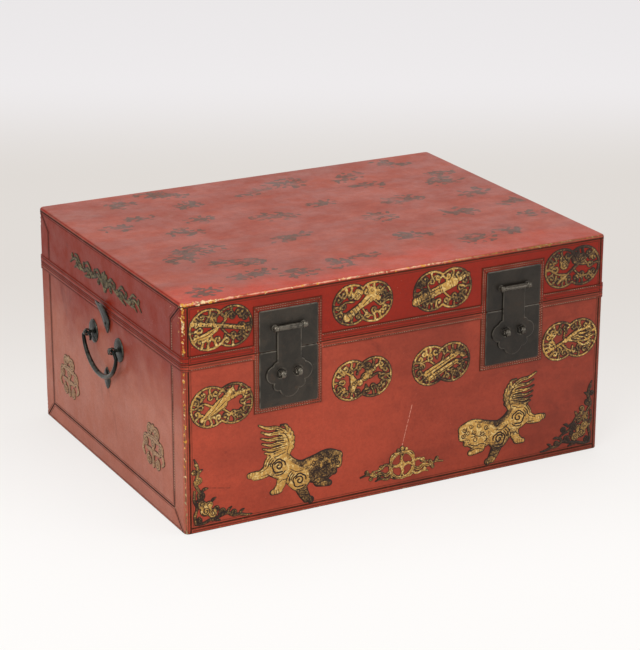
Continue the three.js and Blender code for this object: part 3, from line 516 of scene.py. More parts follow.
def stroke(places: Sequence[Sequence[float]], widths: Sequence[float], samples: int = 6) -> Lines:
    """A smooth stroke through places, whose half width passes through the widths, spread evenly."""
    places = np.asarray(places, float)
    spread = np.interp(np.linspace(0, 1, len(places)), np.linspace(0, 1, len(widths)), widths)
    points = curve(np.concatenate([places, spread[:, None]], axis=1), samples)
    points[:, 2] = np.maximum(points[:, 2], 0.15)
    return trace(points)


def dots(places: Sequence[Sequence[float]], radius: float | Sequence[float]) -> Lines:
    """Round dots, as strokes of no length."""
    places = np.atleast_2d(np.asarray(places, float))
    size = np.broadcast_to(np.asarray(radius, float), (len(places),))[:, None]
    return np.concatenate([places, places + 1e-4, size, size], axis=1)


def bent(
    x: float, z: float, radius: float | np.ndarray, angle: np.ndarray, width: float | np.ndarray
) -> Lines:
    """A stroke through places at some distances and angles, in radians, round a middle."""
    widths = np.broadcast_to(width, angle.shape)
    return trace(np.stack([x + radius * np.cos(angle), z + radius * np.sin(angle), widths], axis=1))


def arc(
    x: float, z: float, radius: float, start: float, stop: float, width: float, count: int = 28
) -> Lines:
    """Part of a circle, between two angles in degrees, as a stroke of even half width."""
    return bent(x, z, radius, np.radians(np.linspace(start, stop, count)), width)


def spiral(
    x: float, z: float, radii: tuple[float, float], start: float, turns: float, widths: tuple[float, float]
) -> Lines:
    """A spiral whose radius and half width change evenly with its angle."""
    t = np.linspace(0, 1, max(int(abs(turns) * 22), 8))
    angle = math.radians(start) + 2 * math.pi * turns * t
    radius = radii[0] + (radii[1] - radii[0]) * t
    return bent(x, z, radius, angle, widths[0] + (widths[1] - widths[0]) * t)


def moved(lines: Lines, x: float, z: float, turn: float = 0.0, size: float = 1.0) -> Lines:
    """Strokes made larger, turned by degrees and then shifted."""
    lines = lines.copy()
    c, s = math.cos(math.radians(turn)) * size, math.sin(math.radians(turn)) * size
    for k in (0, 2):
        a, b = lines[:, k].copy(), lines[:, k + 1].copy()
        lines[:, k], lines[:, k + 1] = c * a - s * b + x, s * a + c * b + z
    lines[:, 4:] *= size
    return lines


def both(*strokes: Lines) -> Lines:
    """Strokes together with their mirror images to the left."""
    lines = np.concatenate(strokes)
    return np.concatenate([lines, lines * np.array([-1, 1, -1, 1, 1, 1])])


def stroke_depth(x: np.ndarray, z: np.ndarray, lines: Lines) -> np.ndarray:
    """How far inside the nearest stroke each point lies: the greatest of half width less distance.

    The place on a stroke's middle line nearest to the point is t = clip(w.d / d.d, 0, 1), with w the
    way from its start to the point and d the whole stroke.
    """
    x0, z0, x1, z1, first, last = lines.T
    way_x, way_z = x1 - x0, z1 - z0
    square = np.maximum(way_x**2 + way_z**2, 1e-9)
    gap_x, gap_z = x[..., None] - x0, z[..., None] - z0
    t = np.clip((gap_x * way_x + gap_z * way_z) / square, 0, 1)
    distance = np.hypot(gap_x - way_x * t, gap_z - way_z * t)
    return np.max(first + (last - first) * t - distance, axis=-1)


def reach(x: np.ndarray, z: np.ndarray, strokes: Sequence[Lines], margin: float = 5.0) -> np.ndarray:
    """The depth inside strokes over a grid, worked out tile by tile from the strokes that are near.

    Args:
        x, z: the grid's points.
        strokes: the strokes.
        margin: how far outside the strokes the depth still matters.

    Returns:
        Array like x, positive inside a stroke and no less than minus the margin.
    """
    lines = np.concatenate(strokes)
    value = np.full(x.shape, -margin)
    middle_x, middle_z = (lines[:, 0] + lines[:, 2]) / 2, (lines[:, 1] + lines[:, 3]) / 2
    size = np.hypot(lines[:, 2] - lines[:, 0], lines[:, 3] - lines[:, 1]) / 2
    size = size + np.maximum(lines[:, 4], lines[:, 5]) + margin
    for row in range(0, x.shape[0], TILE):
        for column in range(0, x.shape[1], TILE):
            block = np.s_[row : row + TILE, column : column + TILE]
            near_x, near_z = x[block], z[block]
            centre_x, centre_z = near_x.mean(), near_z.mean()
            radius = np.hypot(near_x - centre_x, near_z - centre_z).max()
            near = np.hypot(middle_x - centre_x, middle_z - centre_z) < radius + size
            if near.any():
                value[block] = np.maximum(value[block], stroke_depth(near_x, near_z, lines[near]))
    return value


def cut_sheet(
    across: np.ndarray,
    height: np.ndarray,
    keep: np.ndarray,
    front: np.ndarray,
    back: float,
    fields: Fields,
) -> Shape:
    """A closed sheet of some cells of a grid, between a front face and a flat back.

    Args:
        across, height: the grid's points, as arrays of rows and columns.
        keep: the cells that belong to the sheet.
        front: how far out the front face lies at each point.
        back: how far out the back lies.
        fields: values at each point.

    Returns:
        The shape, as across, out and height.
    """
    rows, columns = across.shape
    cells = quads(rows, columns)[keep.ravel()]
    used, cells = np.unique(cells, return_inverse=True)
    cells = cells.reshape(-1, 4)
    count = len(used)
    pairs = np.stack([cells, np.roll(cells, -1, axis=1)], axis=-1).reshape(-1, 2)
    there = pairs[:, 0] * count + pairs[:, 1]
    back_again = pairs[:, 1] * count + pairs[:, 0]
    border = pairs[~np.isin(there, back_again)]
    walls = np.stack([border[:, 1], border[:, 0], border[:, 0] + count, border[:, 1] + count], axis=1)
    x, z, out = across.ravel()[used], height.ravel()[used], front.ravel()[used]
    points = np.concatenate([np.stack([x, out, z], axis=1), np.stack([x, np.full(count, back), z], axis=1)])
    values = {key: np.tile(np.asarray(value).ravel()[used], 2) for key, value in fields.items()}
    return Shape(points, [np.concatenate([cells, cells[:, ::-1] + count, walls])], values)


def filled(keep: np.ndarray) -> np.ndarray:
    """The kept cells, with one more wherever two of them meet only at a corner."""
    keep = keep.copy()
    for _ in range(4):
        a, b, c, d = keep[:-1, :-1], keep[:-1, 1:], keep[1:, :-1], keep[1:, 1:]
        rising = b & c & ~a & ~d
        falling = a & d & ~b & ~c
        if not (rising.any() or falling.any()):
            break
        keep[:-1, :-1] |= rising
        keep[:-1, 1:] |= falling
    return keep


def carve(
    window: Box,
    step: float,
    depth: Callable[[np.ndarray, np.ndarray], np.ndarray],
    surface: Callable[[np.ndarray, np.ndarray, np.ndarray], Face],
    back: float = -0.1,
) -> Shape:
    """A closed relief whose outline is where a depth is zero.

    The grid's border points are drawn along the depth's slope onto the outline.

    Args:
        window: left, right, low and high of the grid.
        step: the grid's spacing.
        depth: gives how far inside the outline each point lies.
        surface: gives how far out the face lies and its values, from the points and their depths.
        back: how far out the back lies.

    Returns:
        The shape, as across, out and height.
    """
    xs = np.arange(window[0], window[1] + step, step)
    zs = np.arange(window[2], window[3] + step, step)
    x, z = np.meshgrid(xs, zs)
    inside = depth(x, z)
    middle = (inside[:-1, :-1] + inside[1:, :-1] + inside[:-1, 1:] + inside[1:, 1:]) / 4
    keep = filled(middle > 0)
    around = np.pad(keep, 1).astype(int)
    touching = around[:-1, :-1] + around[1:, :-1] + around[:-1, 1:] + around[1:, 1:]
    border = (touching > 0) & (touching < 4)
    slope_z, slope_x = np.gradient(inside, zs, xs)
    steep = np.maximum(np.hypot(slope_x, slope_z), 0.35)
    shift = np.clip(inside / steep, -0.62 * step, 0.62 * step) * border
    x = x - shift * slope_x / steep
    z = z - shift * slope_z / steep
    inside = np.where(border, 0.0, np.maximum(inside, 0.0))
    out, fields = surface(x, z, inside)
    return cut_sheet(x, z, keep, out, back, fields)


# The sheet on the lid's top, with its painted flower sprays

SPRAYS = (
    (-138, 211), (-134, 154), (-17, 172), (47, 189), (46, 72), (147, 176), (154, 124), (242, 212),
    (283, 134), (268, 93), (163, 35), (275, 19), (298, -45), (294, -115), (204, -59), (91, -26),
    (-45, 45), (-149, 79), (-191, 36), (-246, -73), (-211, -47), (-198, -121), (-167, -130),
    (-191, -178), (-70, -53), (86, -126), (-18, -177), (-68, -189), (160, -181), (219, -170),
    (-132, -202), (-281, -212), (-219, 200), (-271, 96), (-223, 125), (-159, 233),
)


@dataclass(frozen=True)
class TopSheet:
    """The leather over the lid's top, bent down round its edge."""

    step: float = 2.2
    edge_radius: float = 4.0
    face: float = TOP - 0.06
    lip: float = TOP - 4.6
    unpainted: float = 6.0

    def spray(self, rng: np.random.Generator) -> Lines:
        """One spray: a bent stem and a cluster of small leaves round it, at random, longer than deep."""
        wide, deep = rng.uniform(24, 40), rng.uniform(14, 27)
        bend = rng.uniform(-8, 8)
        count = int(wide * deep / 17)
        way = rng.uniform(0, 2 * math.pi, count)
        out = rng.uniform(0, 1, count) ** 0.72
        x, y = wide * out * np.cos(way), deep * out * np.sin(way)
        lean = np.radians(rng.normal(0, 34, count)) + 0.4 * np.sign(x) * np.sign(y)
        half = rng.uniform(4.2, 6.8, count)
        broad = rng.uniform(2.0, 3.3, count)
        shift_x, shift_y = half * np.cos(lean), half * np.sin(lean)
        slim = np.full(count, 0.3)
        rising = np.stack([x - shift_x, y - shift_y, x, y, slim, broad], axis=1)
        falling = np.stack([x, y, x + shift_x, y + shift_y, broad, slim], axis=1)
        stem = stroke([(-wide, -bend), (0, bend), (wide, -bend / 2)], (0.5, 0.8, 0.4))
        return moved(np.concatenate([rising, falling, stem]), 0, 0, rng.normal(0, 16))

    def paint(self, x: np.ndarray, y: np.ndarray) -> np.ndarray:
        """How far inside a painted stroke each point of the top lies."""
        rng = np.random.default_rng(17)
        return reach(x, y, [moved(self.spray(rng), *place) for place in SPRAYS], self.unpainted)

    def plane(self) -> Shape:
        """The flat grid within the case's straight sides, open at its border."""
        wide, deep = HALF_WIDTH - CORNER, HALF_DEPTH - CORNER
        x, y = np.meshgrid(*self.places())
        border = np.minimum(wide - np.abs(x), deep - np.abs(y))
        rise = 0.6 * ripple(x, y) * np.clip(border / 10, 0, 1)
        points = np.stack([x, y, self.face + rise], axis=-1)
        fields = {"paint": self.paint(x, y), "arris": border + 6.1, "seam": border + 9.0}
        fields = {key: values.ravel() for key, values in fields.items()}
        return Shape(points.reshape(-1, 3), [quads(*x.shape)[:, ::-1]], fields)

    def places(self) -> tuple[np.ndarray, np.ndarray]:
        """The grid's places along x and along y."""
        wide, deep = HALF_WIDTH - CORNER, HALF_DEPTH - CORNER
        return tuple(np.linspace(-half, half, int(2 * half / self.step) + 1) for half in (wide, deep))

    def shape(self) -> Shape:
        """The plane, and a ring that carries its edge's profile round the plan."""
        bend = np.radians(np.linspace(90, 0, 9))
        middle = self.face - self.edge_radius
        outer, inner = (
            np.stack([radius * np.cos(bend) - self.edge_radius, radius * np.sin(bend) + middle], axis=1)
            for radius in (self.edge_radius, self.edge_radius - LEATHER)
        )
        lip = [(-0.03, TOP - 4.4), (-0.25, TOP - 4.54), (-0.7, self.lip), (-2, self.lip)]
        start, stop = [(-CORNER, self.face), (-5.6, self.face)], [(-6.9, self.face - LEATHER)]
        profile = np.concatenate([start, outer, lip, inner[::-1], stop])
        xs, ys = self.places()
        breaks = PLAN.breaks
        corner = np.linspace(0, 1, 9)[1:-1] * (breaks[2] - breaks[1])
        sides = [breaks[k] + places - places[0] for k, places in ((0, xs), (2, ys), (4, xs), (6, ys))]
        along = np.concatenate([part for k in range(4) for part in (sides[k], breaks[2 * k + 1] + corner)])
        ring = PLAN.sweep(along, profile)
        rows, columns = ring.shape[:2]
        closing = (np.arange(rows)[::-1] * columns + columns - 1)[None]
        way = np.concatenate([[0], np.cumsum(np.hypot(*np.diff(profile, axis=0).T))])
        lip_seam = np.abs(profile[:, 1] - self.lip) + 3 * (profile[:, 0] < -4)
        values = {
            "paint": np.full(rows * columns, -self.unpainted),
            "arris": np.tile(np.abs(way - way[6]), rows),
            "seam": np.tile(lip_seam, rows),
        }
        faces = [quads(rows, columns, True)[:, ::-1], closing]
        return join([self.plane(), Shape(ring.reshape(-1, 3), faces, values)]).outward()


# Rim bindings with their lock tabs and stitches


def stitches(
    places: np.ndarray, direction: tuple[float, float], out: float, length: float = 1.9, width: float = 0.45
) -> Shape:
    """Short threads on the outline's wall, each half a capsule of few faces.

    Args:
        places: array (n, 2) of distances along and heights.
        direction: the threads' way, as along and up.
        out: how far out the leather lies under them.
        length: a thread's length.
        width: half its width.

    Returns:
        All the threads as one shape.
    """
    t = np.array([-1.0, -0.72, 0.0, 0.72, 1.0])
    full = np.array([0.35, 0.9, 1.0, 0.9, 0.35])
    angle = np.linspace(0, math.pi, 5)
    forth = np.repeat(t[:, None] * length / 2, 5, axis=1)
    aside = full[:, None] * width * np.cos(angle)[None]
    raised = full[:, None] * 0.36 * np.sin(angle)[None] - 0.12 * (1 - np.sin(angle)[None])
    along = places[:, 0][:, None, None] + forth * direction[0] - aside * direction[1]
    height = places[:, 1][:, None, None] + forth * direction[1] + aside * direction[0]
    points = PLAN.place(along, np.broadcast_to(out + raised, along.shape), height).reshape(-1, 3)
    bottom = np.array([[4, 9, 14, 19, 24, 20, 15, 10, 5, 0]])
    ends = np.array([[0, 1, 2, 3, 4], [24, 23, 22, 21, 20]])
    offsets = (np.arange(len(places)) * 25)[:, None, None]
    blocks = [(offsets + block[None]).reshape(-1, block.shape[1]) for block in (quads(5, 5), bottom, ends)]
    return Shape(points, blocks)


@dataclass(frozen=True)
class RimBinding:
    """The leather binding round the mouth of the base or the lid.

    It is a flat flange over the rim, a band with two sunk lines on the sides and back, and on the front
    a stitched band with a tab behind each lock.
    """

    part: str
    low: float
    high: float
    tab_end: float
    flange: float
    stitch_height: float
    face: float = 1.5
    fillet: float = 0.9
    groove_half: float = 0.95
    groove_depth: float = 0.7
    tab_half: float = 51.0
    tab_insets: tuple[float, float] = (2.0, 5.0)
    pitch: float = 3.6
    thread_out: float = 1.3

    @property
    def grooves(self) -> np.ndarray:
        """The heights of the two sunk lines."""
        return np.linspace(self.low + 2.7, self.high - 2.4, 2)

    @property
    def inwards(self) -> int:
        """The way from a tab's end to the band: up on the base and down on the lid."""
        return 1 if self.tab_end < self.low else -1

    def ring(self) -> Shape:
        """The flange: a flat strip with round edges, carried all the way round."""
        low, high = self.flange, self.flange + 1.2
        profile = [(-13.3, low), (-0.2, low), (0.15, low + 0.3), (0.2, low + 0.6), (0.1, high - 0.2),
                   (-0.4, high), (-12.9, high), (-13.25, high - 0.3)]
        along = PLAN.samples(20)
        grid = PLAN.sweep(along, profile)
        turn = np.broadcast_to(PLAN.turn(along)[:, None], grid.shape[:2])
        far = np.full(grid.shape[:2], 30.0)
        return loft(grid, True, {"turn": turn, "seam": far, "arris": far})

    def band(self) -> Shape:
        """The band on the sides and back, with two sunk lines, from one front corner to the other."""
        low, high, face = self.low, self.high, self.face
        profile = [(-0.1, low), (0.7, low + 0.05), (1.2, low + 0.35), (face, low + 0.9)]
        seam = [0.0, 0.3, 0.8, 1.4]
        for line in self.grooves:
            profile += [(face, line - self.groove_half), (face - self.groove_depth, line),
                        (face, line + self.groove_half)]
            seam += [2.0, 0.2, 2.0]
        profile += [(face, high - 0.7), (face - 0.3, high - 0.25), (face - 0.8, high), (-0.1, high)]
        seam += [1.6] * 4
        along = PLAN.samples(9)
        start = PLAN.at(Wall.FRONT, FRONT_SEAM + 0.3)
        along = np.unique(np.concatenate([[start], along[along > start], [PLAN.length, PLAN.length + 0.7]]))
        grid = PLAN.sweep(along, profile)
        flat = grid.shape[:2]
        fields = {
            "seam": np.broadcast_to(np.array(seam)[None], flat),
            "turn": np.broadcast_to(PLAN.turn(along)[:, None], flat),
            "arris": np.broadcast_to(np.maximum(PLAN.arris(along), 4.0)[:, None], flat),
        }
        return loft(grid, False, fields)

    def front(self) -> Shape:
        """The front band and its two tabs as one sheet, rounded along its outline."""
        bottom, top = min(self.low, self.tab_end), max(self.high, self.tab_end)
        tabs = [(x - self.tab_half, x + self.tab_half, bottom, top) for x in (-LOCK_X, LOCK_X)]
        boxes = [(-FRONT_SEAM - 0.2, FRONT_SEAM + 0.2, self.low, self.high), *tabs]
        near = np.array([-0.9, -0.45, 0.0, 0.45, 0.9])
        xs = [graded(box[0], box[1], 7) for box in boxes]
        xs += [edge + sign * inset + near for box in tabs for edge, sign in ((box[0], 1), (box[1], -1))
               for inset in self.tab_insets]
        zs = [graded(self.low, self.high, 3), graded(bottom, top, 5), self.stitch_height + near]
        zs += [self.tab_end + self.inwards * inset + near for inset in self.tab_insets]
        x, z = np.meshgrid(*(np.unique(np.round(np.concatenate(places), 2)) for places in (xs, zs)))

        def within(x: np.ndarray, z: np.ndarray) -> np.ndarray:
            """How far inside the nearest box each point lies."""
            depths = [np.minimum(np.minimum(x - a, b - x), np.minimum(z - c, d - z)) for a, b, c, d in boxes]
            return np.max(depths, axis=0)

        inside = within(x, z)
        keep = within((x[:-1, :-1] + x[1:, 1:]) / 2, (z[:-1, :-1] + z[1:, 1:]) / 2) > 0
        short = np.clip(self.fillet - inside, 0, self.fillet)
        out = self.face - self.fillet + np.sqrt(self.fillet**2 - short**2)
        seam = np.abs(z - self.stitch_height)
        for a, b, *_ in tabs:
            border = np.minimum(np.minimum(x - a, b - x), np.abs(z - self.tab_end))
            tab_seam = np.min([np.abs(border - inset) for inset in self.tab_insets], axis=0)
            seam = np.where((x > a - 0.01) & (x < b + 0.01), tab_seam, seam)
        out = out - 0.28 * np.clip(1 - seam / 0.7, 0, 1) * (inside > 0.8)
        fields = {"seam": np.minimum(seam + 0.4, inside + 0.5), "turn": np.zeros_like(x),
                  "arris": inside + 6.0}
        return cut_sheet(x, z, keep, out, -0.1, fields).placed(Wall.FRONT)

    def row(self, across: np.ndarray, height: float) -> Shape:
        """Level threads on the front."""
        places = np.stack([across + HALF_WIDTH - CORNER, np.full_like(across, height)], axis=1)
        return stitches(places, (1, 0), self.thread_out)

    def column(self, across: float, heights: np.ndarray) -> Shape:
        """Upright threads on the front."""
        places = np.stack([np.full_like(heights, across + HALF_WIDTH - CORNER), heights], axis=1)
        return stitches(places, (0, 1), self.thread_out)

    def front_thread(self) -> Shape:
        """The light threads on the front: one row along the band and two round each tab."""
        stops = [-FRONT_SEAM + 3, -LOCK_X - self.tab_half, -LOCK_X + self.tab_half, LOCK_X - self.tab_half,
                 LOCK_X + self.tab_half, FRONT_SEAM - 3]
        rows = [self.row(np.arange(low + 1.5, high - 1, self.pitch), self.stitch_height)
                for low, high in zip(stops[::2], stops[1::2])]
        outer = self.high if self.inwards > 0 else self.low
        for lock in (-LOCK_X, LOCK_X):
            for inset in self.tab_insets:
                end, half = self.tab_end + self.inwards * inset, self.tab_half - inset
                heights = np.arange(min(end, outer) + 1.2, max(end, outer) - 1.2, self.pitch)
                rows += [self.column(lock + side * half, heights) for side in (-1, 1)]
                rows.append(self.row(np.arange(lock - half + 2, lock + half - 1, self.pitch), end))
        return join(rows)

    def side_thread(self) -> Shape:
        """The dark threads in the sunk lines of the sides and back."""
        along = np.arange(PLAN.at(Wall.FRONT, FRONT_SEAM) + 6, PLAN.length - 4, self.pitch)
        rows = [np.stack([along, np.full_like(along, line)], axis=1) for line in self.grooves]
        return stitches(np.concatenate(rows), (1, 0), self.face - 0.6)


# Finishes

Colour = tuple[float, float, float, float]
Scratch = tuple[tuple[float, float], tuple[float, float], Colour]


class Value:
    """What a node gives. Arithmetic with numbers and other values adds the nodes that work it out."""

    def __init__(self, shader: "Shader", socket: bpy.types.NodeSocket) -> None:
        """Keeps the shader and the socket that the value comes from."""
        self.shader = shader
        self.socket = socket

    def __add__(self, other: Any) -> "Value":
        """The sum."""
        return self.shader.math("ADD", self, other)

    def __sub__(self, other: Any) -> "Value":
        """The difference."""
        return self.shader.math("SUBTRACT", self, other)

    def __mul__(self, other: Any) -> "Value":
        """The product."""
        return self.shader.math("MULTIPLY", self, other)

    def greater(self, other: Any) -> "Value":
        """The greater of the two."""
        return self.shader.math("MAXIMUM", self, other)

    def held(self) -> "Value":
        """The same result, held between 0 and 1 by its own node."""
        self.socket.node.use_clamp = True
        return self


class Shader:
    """Adds nodes to one new material and links them."""

    def __init__(self, name: str) -> None:
        """Starts a material with a surface shader and object coordinates."""
        self.material = bpy.data.materials.new(name)
        self.material.use_nodes = True
        self.tree = self.material.node_tree
        self.tree.nodes.clear()
        self.surface = self.node("ShaderNodeBsdfPrincipled")
        self.output = self.node("ShaderNodeOutputMaterial")
        self.tree.links.new(self.surface.outputs[0], self.output.inputs[0])
        self.place = Value(self, self.node("ShaderNodeTexCoord").outputs["Object"])

    def node(self, kind: str, **settings: Any) -> bpy.types.Node:
        """A new node with its settings."""
        made = self.tree.nodes.new(kind)
        for key, value in settings.items():
            setattr(made, key, value)
        return made

    def fed(self, kind: str, inputs: dict[Any, Any], output: Any = 0, **settings: Any) -> Value:
        """A new node's output.

        Args:
            kind: the node's type.
            inputs: what goes into its sockets, by their names or numbers.
            output: the name or number of the socket that is wanted.
            settings: the node's own settings.

        Returns:
            The output.
        """
        made = self.node(kind, **settings)
        for key, value in inputs.items():
            self.put(made.inputs[key], value)
        return Value(self, made.outputs[output])

    def put(self, socket: bpy.types.NodeSocket, value: Any) -> None:
        """Links a socket to a value, or sets its own number."""
        if isinstance(value, Value):
            self.tree.links.new(value.socket, socket)
        else:
            socket.default_value = value

    def set(self, **values: Any) -> bpy.types.Material:
        """Feeds the surface shader's sockets, named with _ for a space, and returns the material."""
        for name, value in values.items():
            self.put(self.surface.inputs[name.replace("_", " ")], value)
        return self.material

    def math(self, how: str, first: Any, second: Any) -> Value:
        """The result of a sum or a like step on numbers."""
        return self.fed("ShaderNodeMath", {0: first, 1: second}, operation=how)

    def vector(self, how: str, first: Any, second: Any, output: str = "Vector") -> Value:
        """The result of a step on vectors; lengths and products come out of Value."""
        return self.fed("ShaderNodeVectorMath", {0: first, 1: second}, output, operation=how)

    def stretched(self, sizes: Sequence[float]) -> Value:
        """Object coordinates, multiplied along each direction."""
        return self.fed("ShaderNodeMapping", {"Vector": self.place, "Scale": sizes})

    def noise(
        self, scale: float, detail: float = 4.0, rough: float = 0.55, twist: float = 0.0, place: Any = None
    ) -> Value:
        """Cloudy noise from 0 to 1, of so many waves to the metre."""
        return self.fed("ShaderNodeTexNoise", {
            "Vector": place or self.place, "Scale": scale, "Detail": detail, "Roughness": rough,
            "Distortion": twist,
        })

    def cells(self, scale: float) -> Value:
        """Distance to the nearest of scattered points."""
        return self.fed("ShaderNodeTexVoronoi", {"Vector": self.place, "Scale": scale}, "Distance")

    def level(self, value: Any, low: float, high: float, start: float = 0.0, stop: float = 1.0) -> Value:
        """A smooth step: start below low and stop above high, or the other way round."""
        inputs = dict(enumerate((value, low, high, start, stop)))
        return self.fed("ShaderNodeMapRange", inputs, interpolation_type="SMOOTHSTEP")

    def mix(self, factor: Any, first: Any, second: Any) -> Value:
        """Two colours mixed by a factor."""
        return self.fed("ShaderNodeMix", {0: factor, 6: first, 7: second}, 2, data_type="RGBA")

    def value(self, name: str) -> Value:
        """A value kept in the mesh."""
        return self.fed("ShaderNodeAttribute", {}, "Fac", attribute_name=name)

    def axis(self, name: str) -> Value:
        """One of the object coordinates, in metres."""
        return self.fed("ShaderNodeSeparateXYZ", {0: self.place}, name)

    def near_line(self, start: tuple[float, float], stop: tuple[float, float]) -> Value:
        """Distance in metres from a line on the front, given in millimetres across and up.

        With w from the line's start and d the line, it is the length of w - d clip(w.d / d.d, 0, 1).
        """
        way = ((stop[0] - start[0]) / 1000, 0.0, (stop[1] - start[1]) / 1000)
        square = way[0] ** 2 + way[2] ** 2
        flat = self.vector("MULTIPLY", self.place, (1.0, 0.0, 1.0))
        gap = self.vector("SUBTRACT", flat, (start[0] / 1000, 0.0, start[1] / 1000))
        along = self.math("DIVIDE", self.vector("DOT_PRODUCT", gap, way, "Value"), square).held()
        nearest = self.fed("ShaderNodeVectorMath", {0: way, "Scale": along}, operation="SCALE")
        return self.vector("DISTANCE", gap, nearest, "Value")

    def bump(self, height: Any, strength: float, distance: float, under: Value | None = None) -> Value:
        """A bent normal from a height in units of the distance, which is in metres."""
        inputs = {"Strength": strength, "Distance": distance, "Height": height}
        if under is not None:
            inputs["Normal"] = under
        return self.fed("ShaderNodeBump", inputs)


@dataclass(frozen=True)
class Lacquer:
    """Old red lacquer over pigskin: clouded, streaked, dirty along its seams and worn at its edges, with
    painted shade towards the case's right and a painted highlight along the lid top's edge.
    """

    name: str
    front: Colour
    front_dark: Colour
    side: Colour
    side_dark: Colour
    side_high: Colour = tint(130, 33, 10)
    wear: float = 1.0
    scratches: tuple[Scratch, ...] = ()

    def ground(self, shader: Shader) -> Value:
        """The colour of sound lacquer, from the front's and the sides' pairs of colours, with painted shade
        that darkens it towards the case's right.
        """
        level = shader.level
        clouds = shader.noise(7.0, 5, 0.62, 0.5)
        drawn = shader.noise(1.0, 5, 0.6, 0.3, shader.stretched((7, 7, 34)))
        mottle = shader.noise(52, 6, 0.62, 0.8)
        depth = level(clouds * 0.5 + drawn * 0.3 + mottle * 0.2, 0.38, 0.64, 0.0, 0.5)
        # painted shade: the lacquer darkens towards the case's right, +x
        depth = (depth + level(shader.axis("X"), -0.3, 0.32, 0.0, 0.64)).held()
        front = shader.mix(depth, self.front, self.front_dark)
        side = shader.mix(depth, self.side, self.side_dark)
        high = level(shader.axis("Z") + (clouds - 0.5) * 0.16, 0.12, 0.26)
        side = shader.mix(high, side, self.side_high)
        return shader.mix(shader.value("turn"), front, side)

    def material(self) -> bpy.types.Material:
        """The finish as a node material."""
        shader = Shader(self.name)
        level, mix, noise = shader.level, shader.mix, shader.noise
        colour = self.ground(shader)
        colour = mix(level(noise(330, 4, 0.6), 0.35, 0.75, 0.0, 0.22), colour, tint(92, 30, 24))
        colour = mix(level(noise(17, 6, 0.68, 1.0), 0.60, 0.74, 0.0, 0.35), colour, tint(84, 34, 28))
        specks = level(noise(620, 2, 0.5), 0.70, 0.76) * level(noise(23, 3, 0.6), 0.50, 0.62, 0.0, 0.55)
        colour = mix(specks, colour, tint(214, 176, 160))
        seam, turn = shader.value("seam"), shader.value("turn")
        beside = level(shader.math("ABSOLUTE", seam - LINE_INSET, 0.0), 0.9, 0.2)
        dirt = level(seam, 2.0, 0.7).greater(beside * 0.8) * level(noise(90, 4), 0.2, 0.5, 0.55, 0.9)
        colour = mix(dirt, colour, mix(turn, tint(66, 36, 20), tint(48, 20, 14)))
        crack = level(seam, 0.7, 0.3) * level(turn, 0.0, 0.6, 0.15, 0.85)
        colour = mix(crack, colour, tint(24, 11, 8))
        colour, bare = self.worn(shader, colour)
        for start, stop, scratch in self.scratches:
            mark = level(shader.near_line(start, stop) + noise(120, 3) * 0.0012, 0.0013, 0.0007)
            colour = mix(mark * level(noise(260, 2), 0.35, 0.5), colour, scratch)
        rough = level(noise(26, 5, 0.6), 0.3, 0.75, 0.30, 0.52) + bare.greater(dirt) * 0.3
        grain = shader.bump(noise(900, 3, 0.6), 0.16, 0.0006)
        pores = shader.bump(level(shader.cells(420), 0.0, 0.25), 0.18, 0.0004, grain)
        normal = shader.bump(noise(38, 4, 0.5), 0.20, 0.004, pores)
        return shader.set(Base_Color=colour, Roughness=rough.held(), Specular_IOR_Level=0.16, Normal=normal)

    def worn(self, shader: Shader, colour: Value) -> tuple[Value, Value]:
        """Rubbed and chipped edges over a colour, with a painted highlight along the lid top's rounded edge;
        also returns how bare each place is.
        """
        level, mix, noise = shader.level, shader.mix, shader.noise
        edge = shader.value("arris") + (noise(48, 5, 0.65) - 0.5) * 5.0
        face = level(shader.axis("Y"), -0.240, -0.247)
        top = level(shader.axis("Z"), 0.318, 0.323)
        line = level(edge, 1.7, 0.3, 0.0, 0.9) * level(noise(75, 5, 0.7), 0.38, 0.52, 0.15, 1.0)
        # painted highlight: a saturated red line along the rounded edge of the lid's top
        colour = mix(line * top * 0.7, colour, tint(150, 26, 14))
        along = shader.axis("X")
        # on the front top edge the rubbed line is partly wear and partly painted highlight, pale pink to the
        # left and brown to the right
        on_top = mix(level(along, 0.02, 0.16), tint(222, 158, 132), tint(122, 76, 50))
        rubbed = mix(top, tint(104, 82, 52), on_top)
        colour = mix((line * face * self.wear).held(), colour, rubbed)
        corner = shader.vector("DISTANCE", shader.place, (-0.33, -0.25, 0.322), "Value")
        near = level(edge, 5.0, 0.0, 0.0, 0.21) * face + level(corner, 0.09, 0.01, 0.0, 0.10)
        chips = (level(noise(190, 4, 0.62, 0.4) + near, 0.745, 0.775) * self.wear).held()
        kind = noise(90, 3, 0.6)
        chip = mix(level(kind, 0.50, 0.56), tint(206, 146, 56), tint(230, 198, 150))
        low = level(shader.axis("Z"), 0.10, 0.02)
        chip = mix(level(kind, 0.62, 0.66, 0.0, 0.8).greater(low * 0.8), chip, tint(124, 114, 88))
        chip = mix(level(along, 0.0, 0.2, 0.0, 0.75), chip, tint(112, 76, 44))
        return mix(chips, colour, chip), chips


